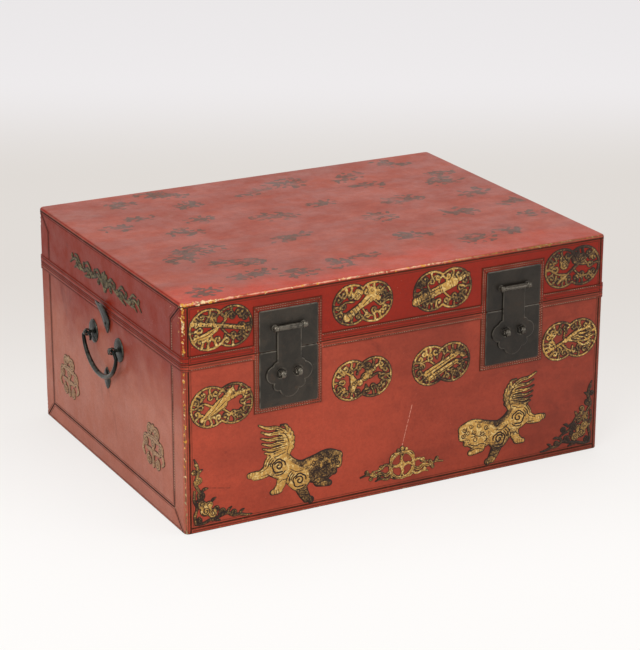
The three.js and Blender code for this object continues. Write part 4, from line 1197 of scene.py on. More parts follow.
@dataclass(frozen=True)
class TopLacquer(Lacquer):
    """The lacquer on the lid's top: faded pink with streaks along it, and worn painted sprays."""

    rim: Colour = tint(190, 58, 30)
    flowers: Colour = tint(70, 52, 40)
    petals: Colour = tint(98, 70, 54)
    glaze: Colour = tint(160, 92, 74)

    def ground(self, shader: Shader) -> Value:
        """Faded red drawn out in streaks, redder towards the front edge, and the sprays on it."""
        level, mix, noise = shader.level, shader.mix, shader.noise
        streaks = noise(1.0, 6, 0.62, 0.5, shader.stretched((5, 21, 21)))
        shade = streaks * 0.55 + noise(9.0, 5, 0.6, 0.7) * 0.25 + noise(64, 6, 0.65, 0.6) * 0.2
        colour = mix(level(shade, 0.38, 0.60), self.side, self.side_dark)
        colour = mix(level(shade, 0.52, 0.66, 0.0, 0.6), colour, self.glaze)
        front = level(shader.axis("Y") + (noise(11, 5, 0.62) - 0.5) * 0.22, -0.165, -0.25)
        share = level(shader.axis("X"), -0.1, 0.25, 0.75, 0.3)
        colour = mix(front * share, colour, self.rim)
        depth = shader.value("paint") + (noise(190, 5, 0.68) - 0.5) * 2.9
        mask = level(depth, -0.5, 0.4) * level(noise(24, 5, 0.66), 0.32, 0.50, 0.3, 1.0) * 0.92
        flower = mix(level(depth, 0.5, 1.4, 0.0, 0.85), self.flowers, self.petals)
        return mix(mask, colour, flower)


@dataclass(frozen=True)
class Gilt:
    """Gold leaf over raised putty, rubbed to its dark ground in the hollows and in patches."""

    name: str
    gold: Colour = tint(190, 145, 74)
    bronze: Colour = tint(112, 84, 48)
    ground: Colour = tint(44, 29, 20)
    glint: Colour = tint(232, 206, 140)
    wear: float = 0.78
    patches: float = 1.0

    def material(self) -> bpy.types.Material:
        """The finish as a node material, from the mesh's values rise, gold and groove."""
        shader = Shader(self.name)
        level, mix, noise = shader.level, shader.mix, shader.noise
        patch = noise(46, 5, 0.62, 0.5) * 0.9 + noise(15, 3, 0.5) * 0.8
        fine = noise(420, 5, 0.72)
        depth = shader.value("rise") * 0.95 + shader.value("gold") * 0.32
        depth = depth + (patch - 0.85) * (2.1 * self.patches) + (fine - 0.5) * 2.6
        depth = depth - shader.value("groove") * 1.1
        shine = level(depth, self.wear, self.wear + 0.34)
        colour = mix(level(depth, self.wear - 0.42, self.wear + 0.02), self.ground, self.bronze)
        colour = mix(shine, colour, self.gold)
        pale = level(noise(300, 4, 0.66), 0.50, 0.64, 0.0, 0.8)
        colour = mix(pale * shine, colour, self.glint)
        pits = shader.bump(noise(640, 4, 0.6), 0.35, 0.0008)
        normal = shader.bump(noise(150, 3, 0.5), 0.5, 0.0018, pits)
        rough = level(fine, 0.3, 0.7, 0.36, 0.60)
        return shader.set(
            Base_Color=colour, Metallic=shine * 0.45, Specular_IOR_Level=0.2, Roughness=rough, Normal=normal
        )


@dataclass(frozen=True)
class Iron:
    """Wrought iron, satin and brown-grey, with rubbed edges and small pits, painted highlights on the rubbed
    edges and painted shade on the case's right.
    """

    name: str
    face: Colour = tint(58, 51, 43)
    dark: Colour = tint(43, 39, 33)
    rust: Colour = tint(70, 54, 40)
    edge: Colour = tint(128, 120, 106)
    smooth: float = 0.36
    sheen: float = 0.5

    def material(self) -> bpy.types.Material:
        """The finish as a node material; the mesh's value bright marks rubbed edges, which get a pale colour
        that is partly wear and partly painted highlight.
        """
        shader = Shader(self.name)
        level, mix, noise = shader.level, shader.mix, shader.noise
        clouds = noise(30, 5, 0.62, 0.5)
        colour = mix(level(clouds, 0.36, 0.64), self.face, self.dark)
        colour = mix(level(noise(75, 5, 0.65), 0.56, 0.72, 0.0, 0.6), colour, self.rust)
        colour = mix(level(noise(380, 5, 0.65), 0.60, 0.76, 0.0, 0.16), colour, self.edge)
        bright = shader.value("bright")
        # wear and painted highlight: the pale edge colour where bright is high
        rubbed = bright * level(noise(120, 4), 0.3, 0.55) * 0.75
        colour = mix(rubbed.held(), colour, self.edge)
        # painted shade: the iron darkens towards the case's right, +x
        shade = level(shader.axis("X"), 0.02, 0.15, 0.0, 0.42)
        rough = level(clouds, 0.3, 0.7, self.smooth, self.smooth + 0.12) - (bright * 0.26).held()
        pits = shader.bump(noise(700, 4, 0.6), 0.22, 0.0006)
        return shader.set(
            Base_Color=mix(shade, colour, tint(26, 21, 17)), Metallic=0.6, Specular_IOR_Level=self.sheen,
            Roughness=rough, Normal=shader.bump(noise(85, 3, 0.5), 0.25, 0.002, pits),
        )


@dataclass(frozen=True)
class Wood:
    """Planed softwood boards, browned with age, their grain running along x or z."""

    name: str
    upright: bool = False

    def material(self) -> bpy.types.Material:
        """The finish as a node material."""
        shader = Shader(self.name)
        level = shader.level
        sizes = (30, 3, 60) if self.upright else (3, 30, 60)
        rings = shader.noise(1.0, 4, 0.6, 1.2, shader.stretched(sizes))
        fibre = shader.noise(1.0, 3, 0.6, 0.2, shader.stretched([9 * size for size in sizes]))
        grain = rings * 0.7 + fibre * 0.3
        colour = shader.mix(level(grain, 0.35, 0.65), tint(150, 108, 70), tint(96, 62, 38))
        dust = level(shader.noise(12, 5, 0.6), 0.5, 0.8, 0.0, 0.4)
        return shader.set(
            Base_Color=shader.mix(dust, colour, tint(128, 110, 92)),
            Roughness=level(fibre, 0.3, 0.7, 0.6, 0.8), Normal=shader.bump(grain, 0.3, 0.0015),
        )


@dataclass(frozen=True)
class Thread:
    """Twisted thread, in one colour with soiled stretches."""

    name: str
    clean: Colour
    soiled: Colour

    def material(self) -> bpy.types.Material:
        """The finish as a node material."""
        shader = Shader(self.name)
        soil = shader.level(shader.noise(40, 4, 0.6), 0.42, 0.66)
        normal = shader.bump(shader.noise(1500, 2), 0.3, 0.0003)
        return shader.set(Base_Color=shader.mix(soil, self.clean, self.soiled), Roughness=0.75,
                          Normal=normal)


class Finishes:
    """Every finish of the chest, made once."""

    def __init__(self) -> None:
        """Makes the materials."""
        scratches = (
            ((1.8, 65.7), (16.8, 124.2), tint(216, 150, 128)),
            ((-299.2, 63.2), (-263.7, 56.0), tint(84, 42, 30)),
        )
        self.base_skin = Lacquer(
            "base red lacquer", tint(180, 74, 51), tint(128, 52, 37), tint(178, 107, 86),
            tint(156, 86, 66), wear=0.9, scratches=scratches,
        ).material()
        self.lid_skin = Lacquer(
            "lid red lacquer", tint(150, 38, 19), tint(130, 29, 13), tint(142, 52, 34), tint(120, 40, 24)
        ).material()
        self.top_skin = TopLacquer(
            "lid top lacquer", tint(150, 73, 54), tint(132, 56, 42), tint(162, 76, 56),
            tint(142, 62, 46), wear=1.2,
        ).material()
        self.gilt = Gilt("worn gilt").material()
        self.dark_gilt = Gilt(
            "gilt rubbed to bronze", tint(140, 106, 58), tint(80, 58, 38), tint(44, 30, 22),
            tint(178, 146, 92), 1.02,
        ).material()
        self.bronze = Gilt(
            "greenish bronze", tint(122, 108, 74), tint(80, 68, 47), tint(43, 36, 27),
            tint(150, 136, 98), 0.84, 0.4,
        ).material()
        self.pale_gilt = Gilt(
            "faded gilt", tint(164, 130, 98), tint(128, 92, 68), tint(58, 36, 27),
            tint(190, 160, 128), 0.62, 0.5,
        ).material()
        self.iron = Iron("brown iron").material()
        self.cold_iron = Iron(
            "dark iron", tint(26, 29, 26), tint(16, 18, 15), tint(38, 34, 27), tint(104, 102, 92),
            0.25, 0.25,
        ).material()
        self.light_thread = Thread("light thread", tint(190, 148, 122), tint(116, 70, 54)).material()
        self.dark_thread = Thread("soiled thread", tint(92, 52, 40), tint(44, 24, 18)).material()
        self.boards = Wood("boards along the case").material()
        self.end_boards = Wood("boards across the case", True).material()


# The leather skin and the boards under it


@dataclass
class LeatherSkin:
    """All leather of the case: walls, bottom, top sheet, rim bindings and stitches."""

    finishes: Finishes
    bindings: tuple[RimBinding, ...] = (
        RimBinding("base", 232.35, 241.85, 155.0, 240.65, 234.7),
        RimBinding("lid", 242.15, 253.65, 307.0, 242.15, 251.9),
    )

    def build(self) -> None:
        """Makes and sets down every piece."""
        skins = {"base": self.finishes.base_skin, "lid": self.finishes.lid_skin}
        for part, skin in skins.items():
            for panel in walls_of_leather(part):
                set_down(panel.shape().build(panel.name, skin), part, "red_leather", panel.node)
        top = TopSheet().shape().build("lid_top_sheet", self.finishes.top_skin, 50.0, True)
        set_down(top, "lid", "red_leather", "lid_top_leather")
        bottom = self.bottom().build("base_bottom_sheet", skins["base"])
        set_down(bottom, "base", "red_leather", "base_bottom_leather")
        for binding in self.bindings:
            self.bind(binding, skins[binding.part])

    def bind(self, binding: RimBinding, skin: bpy.types.Material) -> None:
        """One rim binding with its threads, and the stitches beside the side panels' front seams."""
        part, light = binding.part, self.finishes.light_thread
        pieces = [
            ("rim_flange", binding.ring(), skin, "rim_binding"),
            ("rim_band", binding.band(), skin, "rim_binding"),
            ("lock_tabs", binding.front(), skin, "rim_binding"),
            ("front_stitches", binding.front_thread().outward(), light, "rim_binding"),
            ("side_stitches", binding.side_thread().outward(), self.finishes.dark_thread, "rim_binding"),
        ]
        low, high = (BOTTOM_STRIP, 231.0) if part == "base" else (255.0, MITRE_HEIGHT - 4)
        heights = np.arange(low, high, binding.pitch)
        for side, wall in (("left", Wall.LEFT), ("right", Wall.RIGHT)):
            places = np.stack([np.full_like(heights, PLAN.at(wall, -SIDE_SEAM - 1.9)), heights], axis=1)
            row = stitches(places, (0, 1), -0.02, 2.1, 0.8).outward()
            pieces.append((f"{side}_corner_stitches", row, light, f"{side}_leather"))
        for name, shape, material, node in pieces:
            set_down(shape.build(f"{part}_{name}", material), part, "red_leather", f"{part}_{node}")

    def bottom(self) -> Shape:
        """The sheet under the case, as a plan outline set in a little, 2 thick with an eased edge."""
        profile = [(-3.2, 0.0), (-2.5, 0.05), (-2.1, 0.5), (-2.15, 1.6), (-2.3, 1.9)]
        rings = np.swapaxes(PLAN.sweep(PLAN.samples(16, 6), profile), 0, 1)
        far = np.full(rings.shape[:2], 20.0)
        return loft(rings, False, {"seam": far, "arris": far, "turn": np.ones(rings.shape[:2])})


@dataclass
class Carcass:
    """The wooden boards, which keep the shapes of their solids."""

    finishes: Finishes

    def build(self) -> None:
        """Gives each board its grain."""
        for name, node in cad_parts.items():
            if name.endswith("_board"):
                across = "_left_" in name or "_right_" in name
                for slot in node.material_slots:
                    slot.material = self.finishes.end_boards if across else self.finishes.boards
                LOG.info("%s keeps its solid's shape", name)


# Raised ornaments


@dataclass(frozen=True)
class Layer:
    """Strokes of one relief that share a height, the width of their rounded edge and a worth in gold."""

    lines: Sequence[Lines]
    top: float
    edge: float
    gold: float


@dataclass(frozen=True)
class Relief:
    """A drawn relief: layers of strokes on a thin ground that shows a little beyond them."""

    window: Box
    layers: tuple[Layer, ...]
    cuts: Sequence[Lines]
    cut_depth: float
    ground: float = 0.5
    rim: float = 0.75
    step: float = 0.6
    crown: float = 1.8

    def depth(self, x: np.ndarray, z: np.ndarray) -> np.ndarray:
        """How far inside the ground's outline each point lies."""
        return reach(x, z, [line for layer in self.layers for line in layer.lines]) + self.rim

    def surface(self, x: np.ndarray, z: np.ndarray, inside: np.ndarray) -> Face:
        """The highest stroke at each point, with the grooves taken off it.

        A stroke rises as top sqrt(t (2 - t)), with t its depth over its edge's width.
        """
        height = self.ground * np.sqrt(np.clip(0.35 + inside / 0.6, 0, 1))
        gold = np.zeros(x.shape)
        for layer in self.layers:
            t = np.clip(reach(x, z, layer.lines) / layer.edge, 0, 1)
            rise = np.where(t > 0, self.ground + (layer.top - self.ground) * np.sqrt(t * (2 - t)), 0)
            gold = np.where(rise > height, layer.gold, gold)
            height = np.maximum(height, rise)
        groove = np.clip(reach(x, z, self.cuts) / 0.5 + 0.35, 0, 1)
        height = np.maximum(height - self.cut_depth * groove, self.ground * 0.7)
        return height, {"rise": np.clip(height / self.crown, 0, 1), "gold": gold, "groove": groove}

    def shape(self) -> Shape:
        """The relief as a closed shape on its wall."""
        return carve(self.window, self.step, self.depth, self.surface)


def bands(
    start: Sequence[float], stop: Sequence[float], places: Sequence[float], half: float, width: float = 0.3
) -> Lines:
    """Short strokes across a straight line, at parts of its length."""
    start, stop = np.asarray(start, float), np.asarray(stop, float)
    way = (stop - start) / np.linalg.norm(stop - start)
    side = np.array([-way[1], way[0]]) * half
    middle = start + (stop - start) * np.asarray(places, float)[:, None]
    return np.concatenate([middle - side, middle + side, np.full((len(middle), 2), width)], axis=1)


def cloud_ring(
    x: float, z: float, radius: float, width: float, lobes: float = 2.5, start: float = 0.0
) -> Lines:
    """A closed line of scallops: its radius is R (0.86 + 0.14 |cos(lobes a)|)."""
    angle = np.linspace(0, 2 * math.pi, 61)
    size = radius * (0.86 + 0.14 * np.abs(np.cos(lobes * (angle - math.radians(start)))))
    return bent(x, z, size, angle, width)


def curl(x: float, z: float, radius: float, start: float, flip: bool = False, width: float = 1.0) -> Lines:
    """A tendril's end: a spiral that narrows as it winds in."""
    turns = -1.3 if flip else 1.3
    return spiral(x, z, (radius, radius * 0.25), start, turns, (width, width * 0.7))


def leaf(x: float, z: float, length: float, angle: float, half: float) -> Lines:
    """A pointed leaf that starts at a place and leans a little to one side."""
    c, s = math.cos(math.radians(angle)), math.sin(math.radians(angle))
    tip = (x + length * c, z + length * s)
    middle = (x + length * (0.5 * c - 0.12 * s), z + length * (0.5 * s + 0.12 * c))
    return stroke([(x, z), middle, tip], (half * 0.4, half, 0.25), 5)


class Emblem(Enum):
    """The old scholars' and players' emblems in the medallions, named after their nodes."""

    FLUTE_AND_SWORD = "lid_flute_and_sword_medallion"
    FLOWER_BASKET = "lid_flower_basket_medallion"
    BANDED_TUBE = "lid_banded_tube_medallion"
    LOTUS = "lid_lotus_medallion"
    FAN_AND_FLUTE = "base_fan_and_flute_medallion"
    GOURD = "base_gourd_medallion"
    CASTANETS = "base_castanets_medallion"
    FLY_WHISK = "base_fly_whisk_medallion"


PETAL_ANGLES = (-10, 25, 60, 95, 130)
# Each emblem's solid strokes, its ribbons and smoke, and its grooves
DRAWINGS = {
    Emblem.FLUTE_AND_SWORD: (
        [stroke([(-41, 11), (0, 3), (41, -7)], (2.9, 2.9), 3),
         stroke([(-40, -11), (-22, -8), (-7, -1)], (1.4, 4.0, 3.2)), dots([(-41, 11), (41, -7)], 3.6)],
        [stroke([(-6, 0), (6, 9), (8, 17), (16, 23)], (1.6, 1.2, 0.9, 0.5)),
         stroke([(2, -2), (12, -12), (24, -15), (34, -12)], (1.3, 1.0, 1.0, 0.5)),
         stroke([(-10, 8), (-14, 16), (-24, 20)], (1.2, 1.0, 0.5))],
        [bands((-41, 11), (41, -7), (0.04, 0.08, 0.93, 0.97), 2.6),
         dots([(-34 + 7.2 * k, 9.4 - 1.6 * k) for k in range(10)], 0.9),
         stroke([(-38, -11), (-22, -8), (-9, -1)], (0.3, 0.4, 0.3))],
    ),
    Emblem.FLOWER_BASKET: (
        [stroke([(-24, -17), (-8, -6)], (6.2, 4.2), 3),
         stroke([(-8, -6), (6, 3), (16, 10)], (3.5, 5.6, 8.0)),
         dots([(-9, 12)], 6.4), dots([(14, 17), (22, 12), (24, 4), (-3, 16)], (4.2, 4.6, 3.8, 3.6))],
        [stroke([(-14, 4), (-28, 4), (-36, -4), (-43, -2)], (1.3, 1.1, 1.1, 0.5)),
         stroke([(18, 2), (28, -6), (36, 2), (43, 4)], (1.3, 1.1, 1.1, 0.5)),
         stroke([(0, -8), (6, -16), (16, -20)], (1.2, 1.0, 0.5))],
        [bands((-24, -17), (-4, -4), (0.1, 0.3, 0.5, 0.7, 0.9), 5.4),
         spiral(-9, 12, (4.6, 1.0), 0, 1.6, (0.4, 0.4)),
         spiral(14, 17, (2.8, 0.8), 90, 1.3, (0.35, 0.35)), spiral(22, 11, (3.0, 0.8), 0, 1.3, (0.35, 0.35)),
         stroke([(0, -2), (12, 8)], (0.4, 0.4), 3)],
    ),
    Emblem.BANDED_TUBE: (
        [stroke([(-42, -12), (18, 8)], (6.2, 6.2), 2), stroke([(20, 9), (40, 16)], (3.0, 3.0), 3)],
        [stroke([(0, -2), (12, -13), (22, -14), (32, -19)], (1.4, 1.1, 1.1, 0.5)),
         stroke([(-20, 0), (-24, 10), (-18, 17), (-10, 22)], (1.4, 1.1, 1.0, 0.5)),
         stroke([(6, 8), (6, 16), (14, 22)], (1.2, 1.0, 0.5))],
        [bands((-42, -12), (18, 8), (0.02, 0.07, 0.12, 0.3, 0.35, 0.62, 0.67, 0.9, 0.95), 5.6),
         bands((20, 9), (40, 16), (0.2, 0.5, 0.8), 2.6), stroke([(-36, -13), (-22, -8.5)], (0.4, 0.4), 3),
         stroke([(-20, -1.5), (-6, 3)], (0.4, 0.4), 3)],
    ),
    Emblem.LOTUS: (
        [stroke([(-24, -21), (-4, -7), (10, 4)], (1.8, 1.6, 2.2)), dots([(-14, 5)], 7.0),
         *(leaf(10, 4, 16, angle, 4.0) for angle in PETAL_ANGLES)],
        [stroke([(-10, -10), (-24, -8), (-34, -2), (-40, 4)], (1.3, 1.1, 1.0, 0.5)),
         stroke([(2, -4), (14, -14), (26, -14), (34, -8)], (1.4, 1.1, 1.0, 0.5))],
        [spiral(-14, 5, (5.0, 1.0), 30, 1.5, (0.4, 0.4)),
         *(leaf(11, 5, 12, angle, 0.45) for angle in PETAL_ANGLES)],
    ),
    Emblem.FAN_AND_FLUTE: (
        [stroke([(-30, -18), (-15, -8), (0, 2)], (1.6, 5.6, 8.2)),
         stroke([(0, 2), (9, 13), (15, 21)], (6.4, 4.4, 2.0)),
         stroke([(4, 4), (22, 12), (40, 16)], (2.3, 2.3), 3)],
        [stroke([(-14, 0), (-26, 6), (-34, 4), (-42, 8)], (1.4, 1.1, 1.0, 0.5)),
         stroke([(2, -6), (14, -14), (24, -12), (34, -16)], (1.4, 1.1, 1.0, 0.5))],
        [stroke([(-26, -15), (-12, -4), (-1, 9)], (0.35, 0.4), 5),
         stroke([(-26, -15.5), (-10, -7), (5, 5)], (0.35, 0.4), 5),
         stroke([(-26, -16), (-10, -10.5), (6, -2)], (0.35, 0.4), 5),
         bands((4, 4), (40, 16), (0.25, 0.4, 0.55, 0.7, 0.85), 2.0)],
    ),
    Emblem.GOURD: (
        [stroke([(-15, -15), (-13, -5), (-16, 5)], (3.2, 5.4, 3.2)), dots([(-4, -5)], 5.0),
         stroke([(4, 2), (12, 7)], (5.8, 4.5), 3), stroke([(12, 7), (24, 17)], (3.2, 1.4), 3)],
        [stroke([(12, 0), (24, 4), (36, 0), (43, -7)], (1.5, 1.2, 1.1, 0.5)),
         stroke([(-16, 6), (-26, 12), (-34, 8), (-42, 10)], (1.4, 1.1, 1.0, 0.5)),
         stroke([(-8, 8), (-4, 16), (6, 22)], (1.3, 1.0, 0.5))],
        [arc(4, 2, 3.8, 100, 330, 0.4), spiral(-13, -5, (3.6, 0.8), 0, 1.4, (0.4, 0.4)),
         bands((12, 7), (24, 17), (0.2, 0.45, 0.7), 2.4)],
    ),
    Emblem.CASTANETS: (
        [stroke([(-24, -11), (-4, -2), (19, 9)], (4.2, 4.0, 3.4)),
         stroke([(-17, -19), (2, -9), (24, 0)], (4.0, 3.8, 3.2)), dots([(24, 12)], 3.2)],
        [stroke([(20, 6), (30, 12), (36, 6), (43, 6)], (1.5, 1.2, 1.1, 0.5)),
         stroke([(-12, 2), (-22, 8), (-32, 6), (-42, 10)], (1.4, 1.1, 1.0, 0.5)),
         stroke([(2, 6), (4, 16), (-4, 22)], (1.3, 1.0, 0.5)),
         stroke([(10, -10), (22, -14), (32, -12)], (1.3, 1.0, 0.5))],
        [stroke([(-24, -11), (19, 9)], (0.45, 0.45), 3), stroke([(-17, -19), (24, 0)], (0.4, 0.4), 3),
         bands((-24, -11), (19, 9), (0.12, 0.86), 3.4), bands((-17, -19), (24, 0), (0.12, 0.86), 3.2)],
    ),
    Emblem.FLY_WHISK: (
        [stroke([(-40, -14), (-8, -1)], (2.0, 2.0), 3), dots([(-7, -0.5)], 3.6),
         *(stroke([(-7, 0), (10, 3 + k * 4), (24 + k, k * 7.5), (38 - abs(k), k * 8 + 3)],
                  (2.0, 2.0, 1.5, 0.5))
           for k in (-1.5, -0.7, 0.1, 0.9, 1.7))],
        [stroke([(-24, -6), (-30, 4), (-24, 12), (-30, 19)], (1.4, 1.1, 1.0, 0.5)),
         stroke([(-12, -6), (-4, -14), (6, -18), (16, -22)], (1.4, 1.1, 1.0, 0.5)),
         stroke([(-10, 4), (-8, 14), (0, 22)], (1.3, 1.0, 0.5))],
        [bands((-40, -14), (-8, -1), (0.1, 0.2, 0.45, 0.55, 0.85), 1.8),
         *(stroke([(2, 1 + k), (16, 3 + k * 5.5), (30, k * 8)], (0.35, 0.35), 5) for k in (-1, 0, 1))],
    ),
}


@dataclass(frozen=True)
class Medallion:
    """Two overlapping roundels of scrollwork with an emblem across them."""

    emblem: Emblem
    centre: float = 17.2
    radius: float = 29.3
    hooks: int = 9

    @property
    def hook(self) -> Lines:
        """One scroll that leaves the rim, runs inwards and curls back, with a leaf on its outer side."""
        way = ((0, 0), (4, 0.4), (8, 2.0), (10, 5.2), (8.2, 8.2), (5.2, 7.6), (5.2, 5.2))
        widths = (1.8, 1.6, 1.5, 1.4, 1.3, 1.4, 1.8)
        return np.concatenate([stroke(way, widths, 4), leaf(7.5, 1.5, 7.0, -25, 1.7)])

    @property
    def tendril(self) -> Lines:
        """A longer scroll that reaches the emblem, with a leaf."""
        way = ((0, 0), (5, 0.5), (10, -1.5), (14.5, -4), (18, -1.5), (16.5, 2.2), (13.5, 1.0))
        return np.concatenate([stroke(way, (1.7, 1.4, 1.3, 1.3, 1.2, 1.3, 1.6), 4),
                               leaf(9, -1, 6.5, 40, 1.5)])

    def relief(self) -> Relief:
        """The rim, the scrolls that grow from it, and the emblem with its ribbons on top."""
        half_angle = math.degrees(math.acos(self.centre / (self.radius - 1.6)))
        rims, scrolls = [], []
        rng = np.random.default_rng(31 + list(Emblem).index(self.emblem))
        root = self.radius - 2.2
        sweeps = ((-1, half_angle, 360 - half_angle), (1, half_angle - 180, 180 - half_angle))
        for side, start, stop in sweeps:
            middle = side * self.centre
            rims.append(arc(middle, 0, self.radius - 1.7, start, stop, 1.3, 44))
            spread = rng.uniform(-4, 4, self.hooks)
            for number, angle in enumerate(np.linspace(start + 9, stop - 9, self.hooks) + spread):
                turn = math.radians(angle)
                flip = -1 if rng.integers(0, 2) else 1
                drawn, drop = (self.tendril, 0.0) if number % 3 == 1 else (self.hook, -4.0)
                scroll = moved(drawn, 0, drop, 0, rng.uniform(0.9, 1.12))
                scroll = scroll * np.array([1, flip, 1, flip, 1, 1])
                x, z = middle + root * math.cos(turn), root * math.sin(turn)
                scrolls.append(moved(scroll, x, z, angle + 180))
        solid, loose, grooves = DRAWINGS[self.emblem]
        layers = (Layer(rims, 1.25, 0.9, 0.9), Layer(scrolls, 1.35, 1.0, 0.6), Layer(loose, 1.5, 1.0, 0.75),
                  Layer(solid, 1.8, 1.6, 0.75))
        return Relief((-47.6, 47.6, -30.4, 30.4), layers, grooves, 0.7, step=0.56, rim=0.95)


@dataclass(frozen=True)
class Lion:
    """A guardian lion in play, its head turned down, its tail in flames. Its head is to the right."""

    mane_gold: float = 0.15
    face_gold: float = -1.0
    foreleg_gold: float = -0.45
    tongues: tuple[tuple[tuple[float, float], ...], ...] = (
        ((-16, 58), (-28, 65), (-42, 67), (-54, 73)), ((-12, 54), (-26, 57.5), (-39, 57.5), (-50, 62.5)),
        ((-11, 48), (-25, 49.5), (-39, 49.5), (-50.5, 53.5)),
        ((-11, 42), (-25, 42.5), (-37, 41.5), (-49, 45.5)),
        ((-12, 37), (-26, 35.5), (-37, 34.5), (-48, 38.0)),
        ((-13, 32), (-26, 29.5), (-35, 28.5), (-45, 31.5)),
        ((-15, 28), (-26, 24.5), (-33, 23.5), (-41, 26.0)),
    )
    tail_curls: tuple[tuple[tuple[float, float], ...], ...] = (
        ((-12, 60), (-13, 66), (-21, 68)), ((-8, 54), (-8, 60), (-13, 64)), ((-6, 48), (-4, 54), (-9, 58)),
        ((-6, 42), (-2, 47), (-5, 52)), ((-7, 36), (-2, 40), (-4, 45)), ((-8, 30), (-3, 33), (-4, 38)),
    )

    def layers(self) -> tuple[Layer, ...]:
        """The tail, the gold haunch, body and legs, and the darker foreleg, neck, head and spine."""
        tail = [stroke([(-12, 26), (-9, 36), (-12, 50), (-20, 60)], (4.6, 6.0, 5.4, 3.2)),
                *(stroke(way, (2.7, 2.3, 1.7, 0.5)) for way in self.tongues)]
        gold = [
            stroke([(-30, 12), (-20, 8)], (16.8, 18.4), 4),
            stroke([(-20, 8), (-4, -6), (7, -16)], (17, 14.6, 16.6)),
            stroke([(-34, 10), (-50, 2), (-60, 1)], (10, 6.4, 5.4)),
            stroke([(-58, 2), (-68, 3)], (5.6, 3.8), 4),
            stroke([(-18, -8), (-22, -20), (-27, -26)], (8, 6.0, 5.4)),
            stroke([(-24, -26), (-34, -28)], (4.6, 3.4), 3),
        ]
        foreleg = [stroke([(8, -26), (13, -38), (18, -47)], (8.6, 7.0, 5.6)), dots([(24, -50)], 4.4)]
        neck = [stroke([(14, -8), (32, 3), (50, 8.5), (66, 6.5)], (11, 11, 10.5, 7.0)),
                stroke([(52, 8), (64, 2), (67, -6)], (9, 7.5, 4.5))]
        face = [stroke([(30, -14), (44, -15), (56, -10)], (11.5, 10.5, 8.5)),
                stroke([(36, -26), (47, -29), (53, -31)], (6.5, 5.2, 3.6)), dots([(60, -15)], 4.4)]
        spine = stroke([(-13, 24), (-4, 13), (8, 7), (20, 9), (34, 13), (50, 17)],
                       (3.0, 3.6, 3.4, 3.0, 2.4, 1.4))
        return (
            Layer(tail, 1.45, 1.5, 1.1),
            Layer([stroke(way, (2.0, 1.6, 0.5), 5) for way in self.tail_curls], 1.35, 1.2, 0.8),
            Layer(gold, 1.75, 2.6, 0.85), Layer(foreleg, 1.55, 2.0, self.foreleg_gold),
            Layer(neck, 1.65, 2.2, self.mane_gold), Layer(face, 1.85, 3.0, self.face_gold),
            Layer([spine], 1.9, 1.6, -0.7),
        )

    def cuts(self) -> list[Lines]:
        """The clouds on haunch and shoulder, the claws, folds, tongues' middles, mane curls and features."""
        cuts = [
            bands((-70, 4), (-60, 1), (0.1, 0.45, 0.8), 4.0, 0.35),
            bands((-33, -29), (-24, -27), (0.15, 0.5, 0.85), 3.4, 0.35),
            bands((17, -52), (27, -50), (0.15, 0.5, 0.85), 3.4, 0.35),
            stroke([(-54, 5), (-44, 9), (-38, 16)], (0.4, 0.5, 0.4)),
            stroke([(-52, -1), (-42, 0), (-36, -4)], (0.4, 0.5, 0.4)),
            stroke([(-26, -16), (-20, -12), (-12, -12)], (0.4, 0.5, 0.4)),
            stroke([(-8, 2), (2, -4), (12, -3)], (0.5, 0.5, 0.4)),
            stroke([(-12, -6), (-8, -12), (-10, -20)], (0.4, 0.5, 0.4)),
            stroke([(-12, 28), (-9, 38), (-12, 50), (-18, 57)], (0.5, 0.5)),
            stroke([(28, -22), (36, -19), (46, -21), (56, -17)], (0.5, 0.5)),
            stroke([(38, -8), (45, -6), (53, -7)], (0.5, 0.6, 0.4)),
            stroke([(34, -28), (44, -25.5), (53, -27.5)], (0.5, 0.6, 0.4)),
            stroke([(6, -32), (14, -34), (20, -33)], (0.4, 0.4)),
            stroke([(9, -39), (15, -41), (21, -41)], (0.4, 0.4)),
            arc(46, -11.5, 3.0, 0, 360, 0.45, 20), arc(57.5, -11.5, 2.0, 30, 300, 0.4, 12),
            arc(32, -12, 5, 90, 250, 0.5, 14),
        ]
        size = 10.2
        for x, z in ((-25, 9.5), (6.5, -17.5)):
            cuts += [cloud_ring(x, z, size, 1.0, 2.5, 20)[:50],
                     spiral(x, z, (size * 0.66, size * 0.16), 150, -1.15, (1.0, 0.9)),
                     arc(x, z, size * 1.3, 250, 320, 0.7, 12)]
            cuts += [arc(x, z, size * ratio, 128, 172, 0.6, 14) for ratio in (1.28, 1.62, 1.96)]
        for way in self.tongues:
            cuts.append(stroke([(x * 0.94 - 1, z + 0.1) for x, z in way[:3]], (0.45, 0.45, 0.3), 5))
        for x, z, start, turns in (
            (28, 4, 200, 1.3), (40, 9, 200, 1.3), (53, 10, 190, 1.3), (64, 6, 150, 1.3),
            (66, -3, 120, 1.3), (34, -4, 60, -1.3), (47, 0, 60, -1.3), (58, 1, 60, -1.3),
        ):
            cuts.append(spiral(x, z, (4.0, 0.9), start, turns, (0.6, 0.5)))
        return cuts

    def relief(self) -> Relief:
        """The whole lion."""
        return Relief((-74, 76, -58, 77), self.layers(), self.cuts(), 0.6, step=0.72, rim=1.15)


